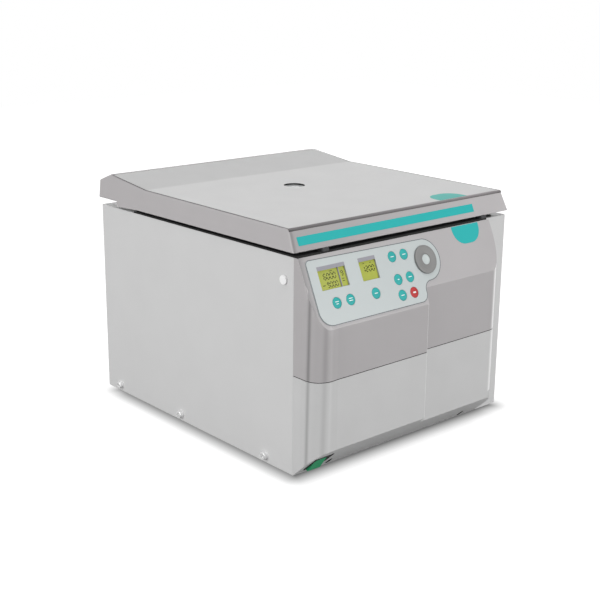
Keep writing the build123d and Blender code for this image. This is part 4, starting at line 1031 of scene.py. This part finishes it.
def addFloor():
    # white paper sweep: bright where the camera looks at it, with a painted contact shadow, greyer as a source
    # of bounced light
    mesh = bpy.data.meshes.new("studioFloor")
    reach = paper["reach"]
    corners = [(-reach, -reach, 0), (reach, -reach, 0), (reach, reach, 0), (-reach, reach, 0)]
    mesh.from_pydata(corners, [], [(0, 1, 2, 3)])
    floor = bpy.data.objects.new("studioFloor", mesh)
    bpy.context.scene.collection.objects.link(floor)
    material = bpy.data.materials.new("paperFloor")
    material.use_nodes = True
    tree = material.node_tree
    tree.nodes.clear()
    spot = addNode(tree, "ShaderNodeNewGeometry").outputs["Position"]
    seenPaper = addNode(tree, "ShaderNodeBsdfDiffuse", inputs={"Color": toLinear(paper["seenColour"])})
    seenGlow = addNode(tree, "ShaderNodeEmission",
                       inputs={"Color": (1, 1, 1, 1), "Strength": paper["seenGlow"]})
    lit = addNode(tree, "ShaderNodeAddShader", links={0: seenPaper.outputs[0], 1: seenGlow.outputs[0]})
    # painted contact shadow: how much of the paper's light is kept
    shadow = addNode(tree, "ShaderNodeEmission", inputs={"Strength": 0.0})
    seen = addNode(tree, "ShaderNodeMixShader",
                   links={0: paintedFootprintShadow(tree, spot), 1: shadow.outputs[0], 2: lit.outputs[0]})
    bounce = addNode(tree, "ShaderNodeBsdfDiffuse", inputs={"Color": toLinear(paper["bounceColour"])})
    path = addNode(tree, "ShaderNodeLightPath")
    total = addNode(tree, "ShaderNodeMixShader",
                    links={0: path.outputs["Is Camera Ray"], 1: bounce.outputs[0], 2: seen.outputs[0]})
    addNode(tree, "ShaderNodeOutputMaterial", links={"Surface": total.outputs[0]})
    mesh.materials.append(material)


# strength of the white world as a lamp, as the camera sees it, and as glossy faces mirror it
sky = {"soft": 0.1, "white": 1.0, "mirrored": 0.55}


def addWorld():
    # plain white for the camera, a dim even light for everything else
    world = bpy.data.worlds.new("studioWorld")
    bpy.context.scene.world = world
    world.use_nodes = True
    tree = world.node_tree
    tree.nodes.clear()
    soft, white, mirrored = [addNode(tree, "ShaderNodeBackground",
                                     inputs={"Color": (1, 1, 1, 1), "Strength": sky[part]}).outputs[0]
                             for part in ("soft", "white", "mirrored")]
    path = addNode(tree, "ShaderNodeLightPath")
    inside = addNode(tree, "ShaderNodeMixShader",
                     links={0: path.outputs["Is Glossy Ray"], 1: soft, 2: mirrored})
    mixed = addNode(tree, "ShaderNodeMixShader",
                    links={0: path.outputs["Is Camera Ray"], 1: inside.outputs[0], 2: white})
    addNode(tree, "ShaderNodeOutputWorld", links={"Surface": mixed.outputs[0]})


def addLamp(name, place, target, size, power):
    # a rectangular soft box that faces the target
    light = bpy.data.lights.new(name, "AREA")
    light.shape = "RECTANGLE"
    light.size, light.size_y = size
    light.energy = power
    lamp = bpy.data.objects.new(name, light)
    bpy.context.scene.collection.objects.link(lamp)
    lamp.location = place
    direction = np.array(target) - np.array(place)
    lamp.rotation_euler = (
        math.atan2(math.hypot(direction[0], direction[1]), -direction[2]),
        0.0,
        math.atan2(direction[1], direction[0]) - math.pi / 2,
    )


lampTarget = (0.0, 0.0, 0.15)
lamps = {
    "overhead": {"place": (0.0, 0.0, 2.8), "size": (3.0, 3.0), "power": 56.0},
    "backSoft": {"place": (2.4, 2.6, 0.85), "size": (3.2, 1.3), "power": 30.0},
    "leftSoft": {"place": (-3.0, 0.2, 1.0), "size": (2.6, 2.0), "power": 71.0},
    "frontSoft": {"place": (0.8, -3.0, 0.8), "size": (3.0, 1.6), "power": 67.0},
}
addFloor()
addWorld()
for lampName, lamp in lamps.items():
    addLamp(lampName, lamp["place"], lampTarget, lamp["size"], lamp["power"])

# camera: place in construction millimetres, turns in radians, lens and centre of view in pixels of the frame
cameraFit = {"place": (-1070.277, -985.511, 614.718), "yaw": 0.6958, "pitch": 0.2712, "focalPixels": 1118.54,
             "frame": 600.0, "centre": (264.0, 288.0), "sensor": 36.0, "near": 0.05, "far": 50.0}
cameraData = bpy.data.cameras.new("benchCamera")
cameraData.sensor_width = cameraFit["sensor"]
cameraData.lens = cameraFit["focalPixels"] / cameraFit["frame"] * cameraFit["sensor"]
cameraData.shift_x = (cameraFit["frame"] / 2 - cameraFit["centre"][0]) / cameraFit["frame"]
cameraData.shift_y = (cameraFit["centre"][1] - cameraFit["frame"] / 2) / cameraFit["frame"]
cameraData.clip_start = cameraFit["near"]
cameraData.clip_end = cameraFit["far"]
camera = bpy.data.objects.new("benchCamera", cameraData)
bpy.context.scene.collection.objects.link(camera)
camera.location = toRow(cameraFit["place"])
camera.rotation_euler = (math.pi / 2 - cameraFit["pitch"], 0.0, -cameraFit["yaw"])
bpy.context.scene.camera = camera
bpy.context.scene.view_settings.view_transform = "Standard"
print("stage, light and camera")
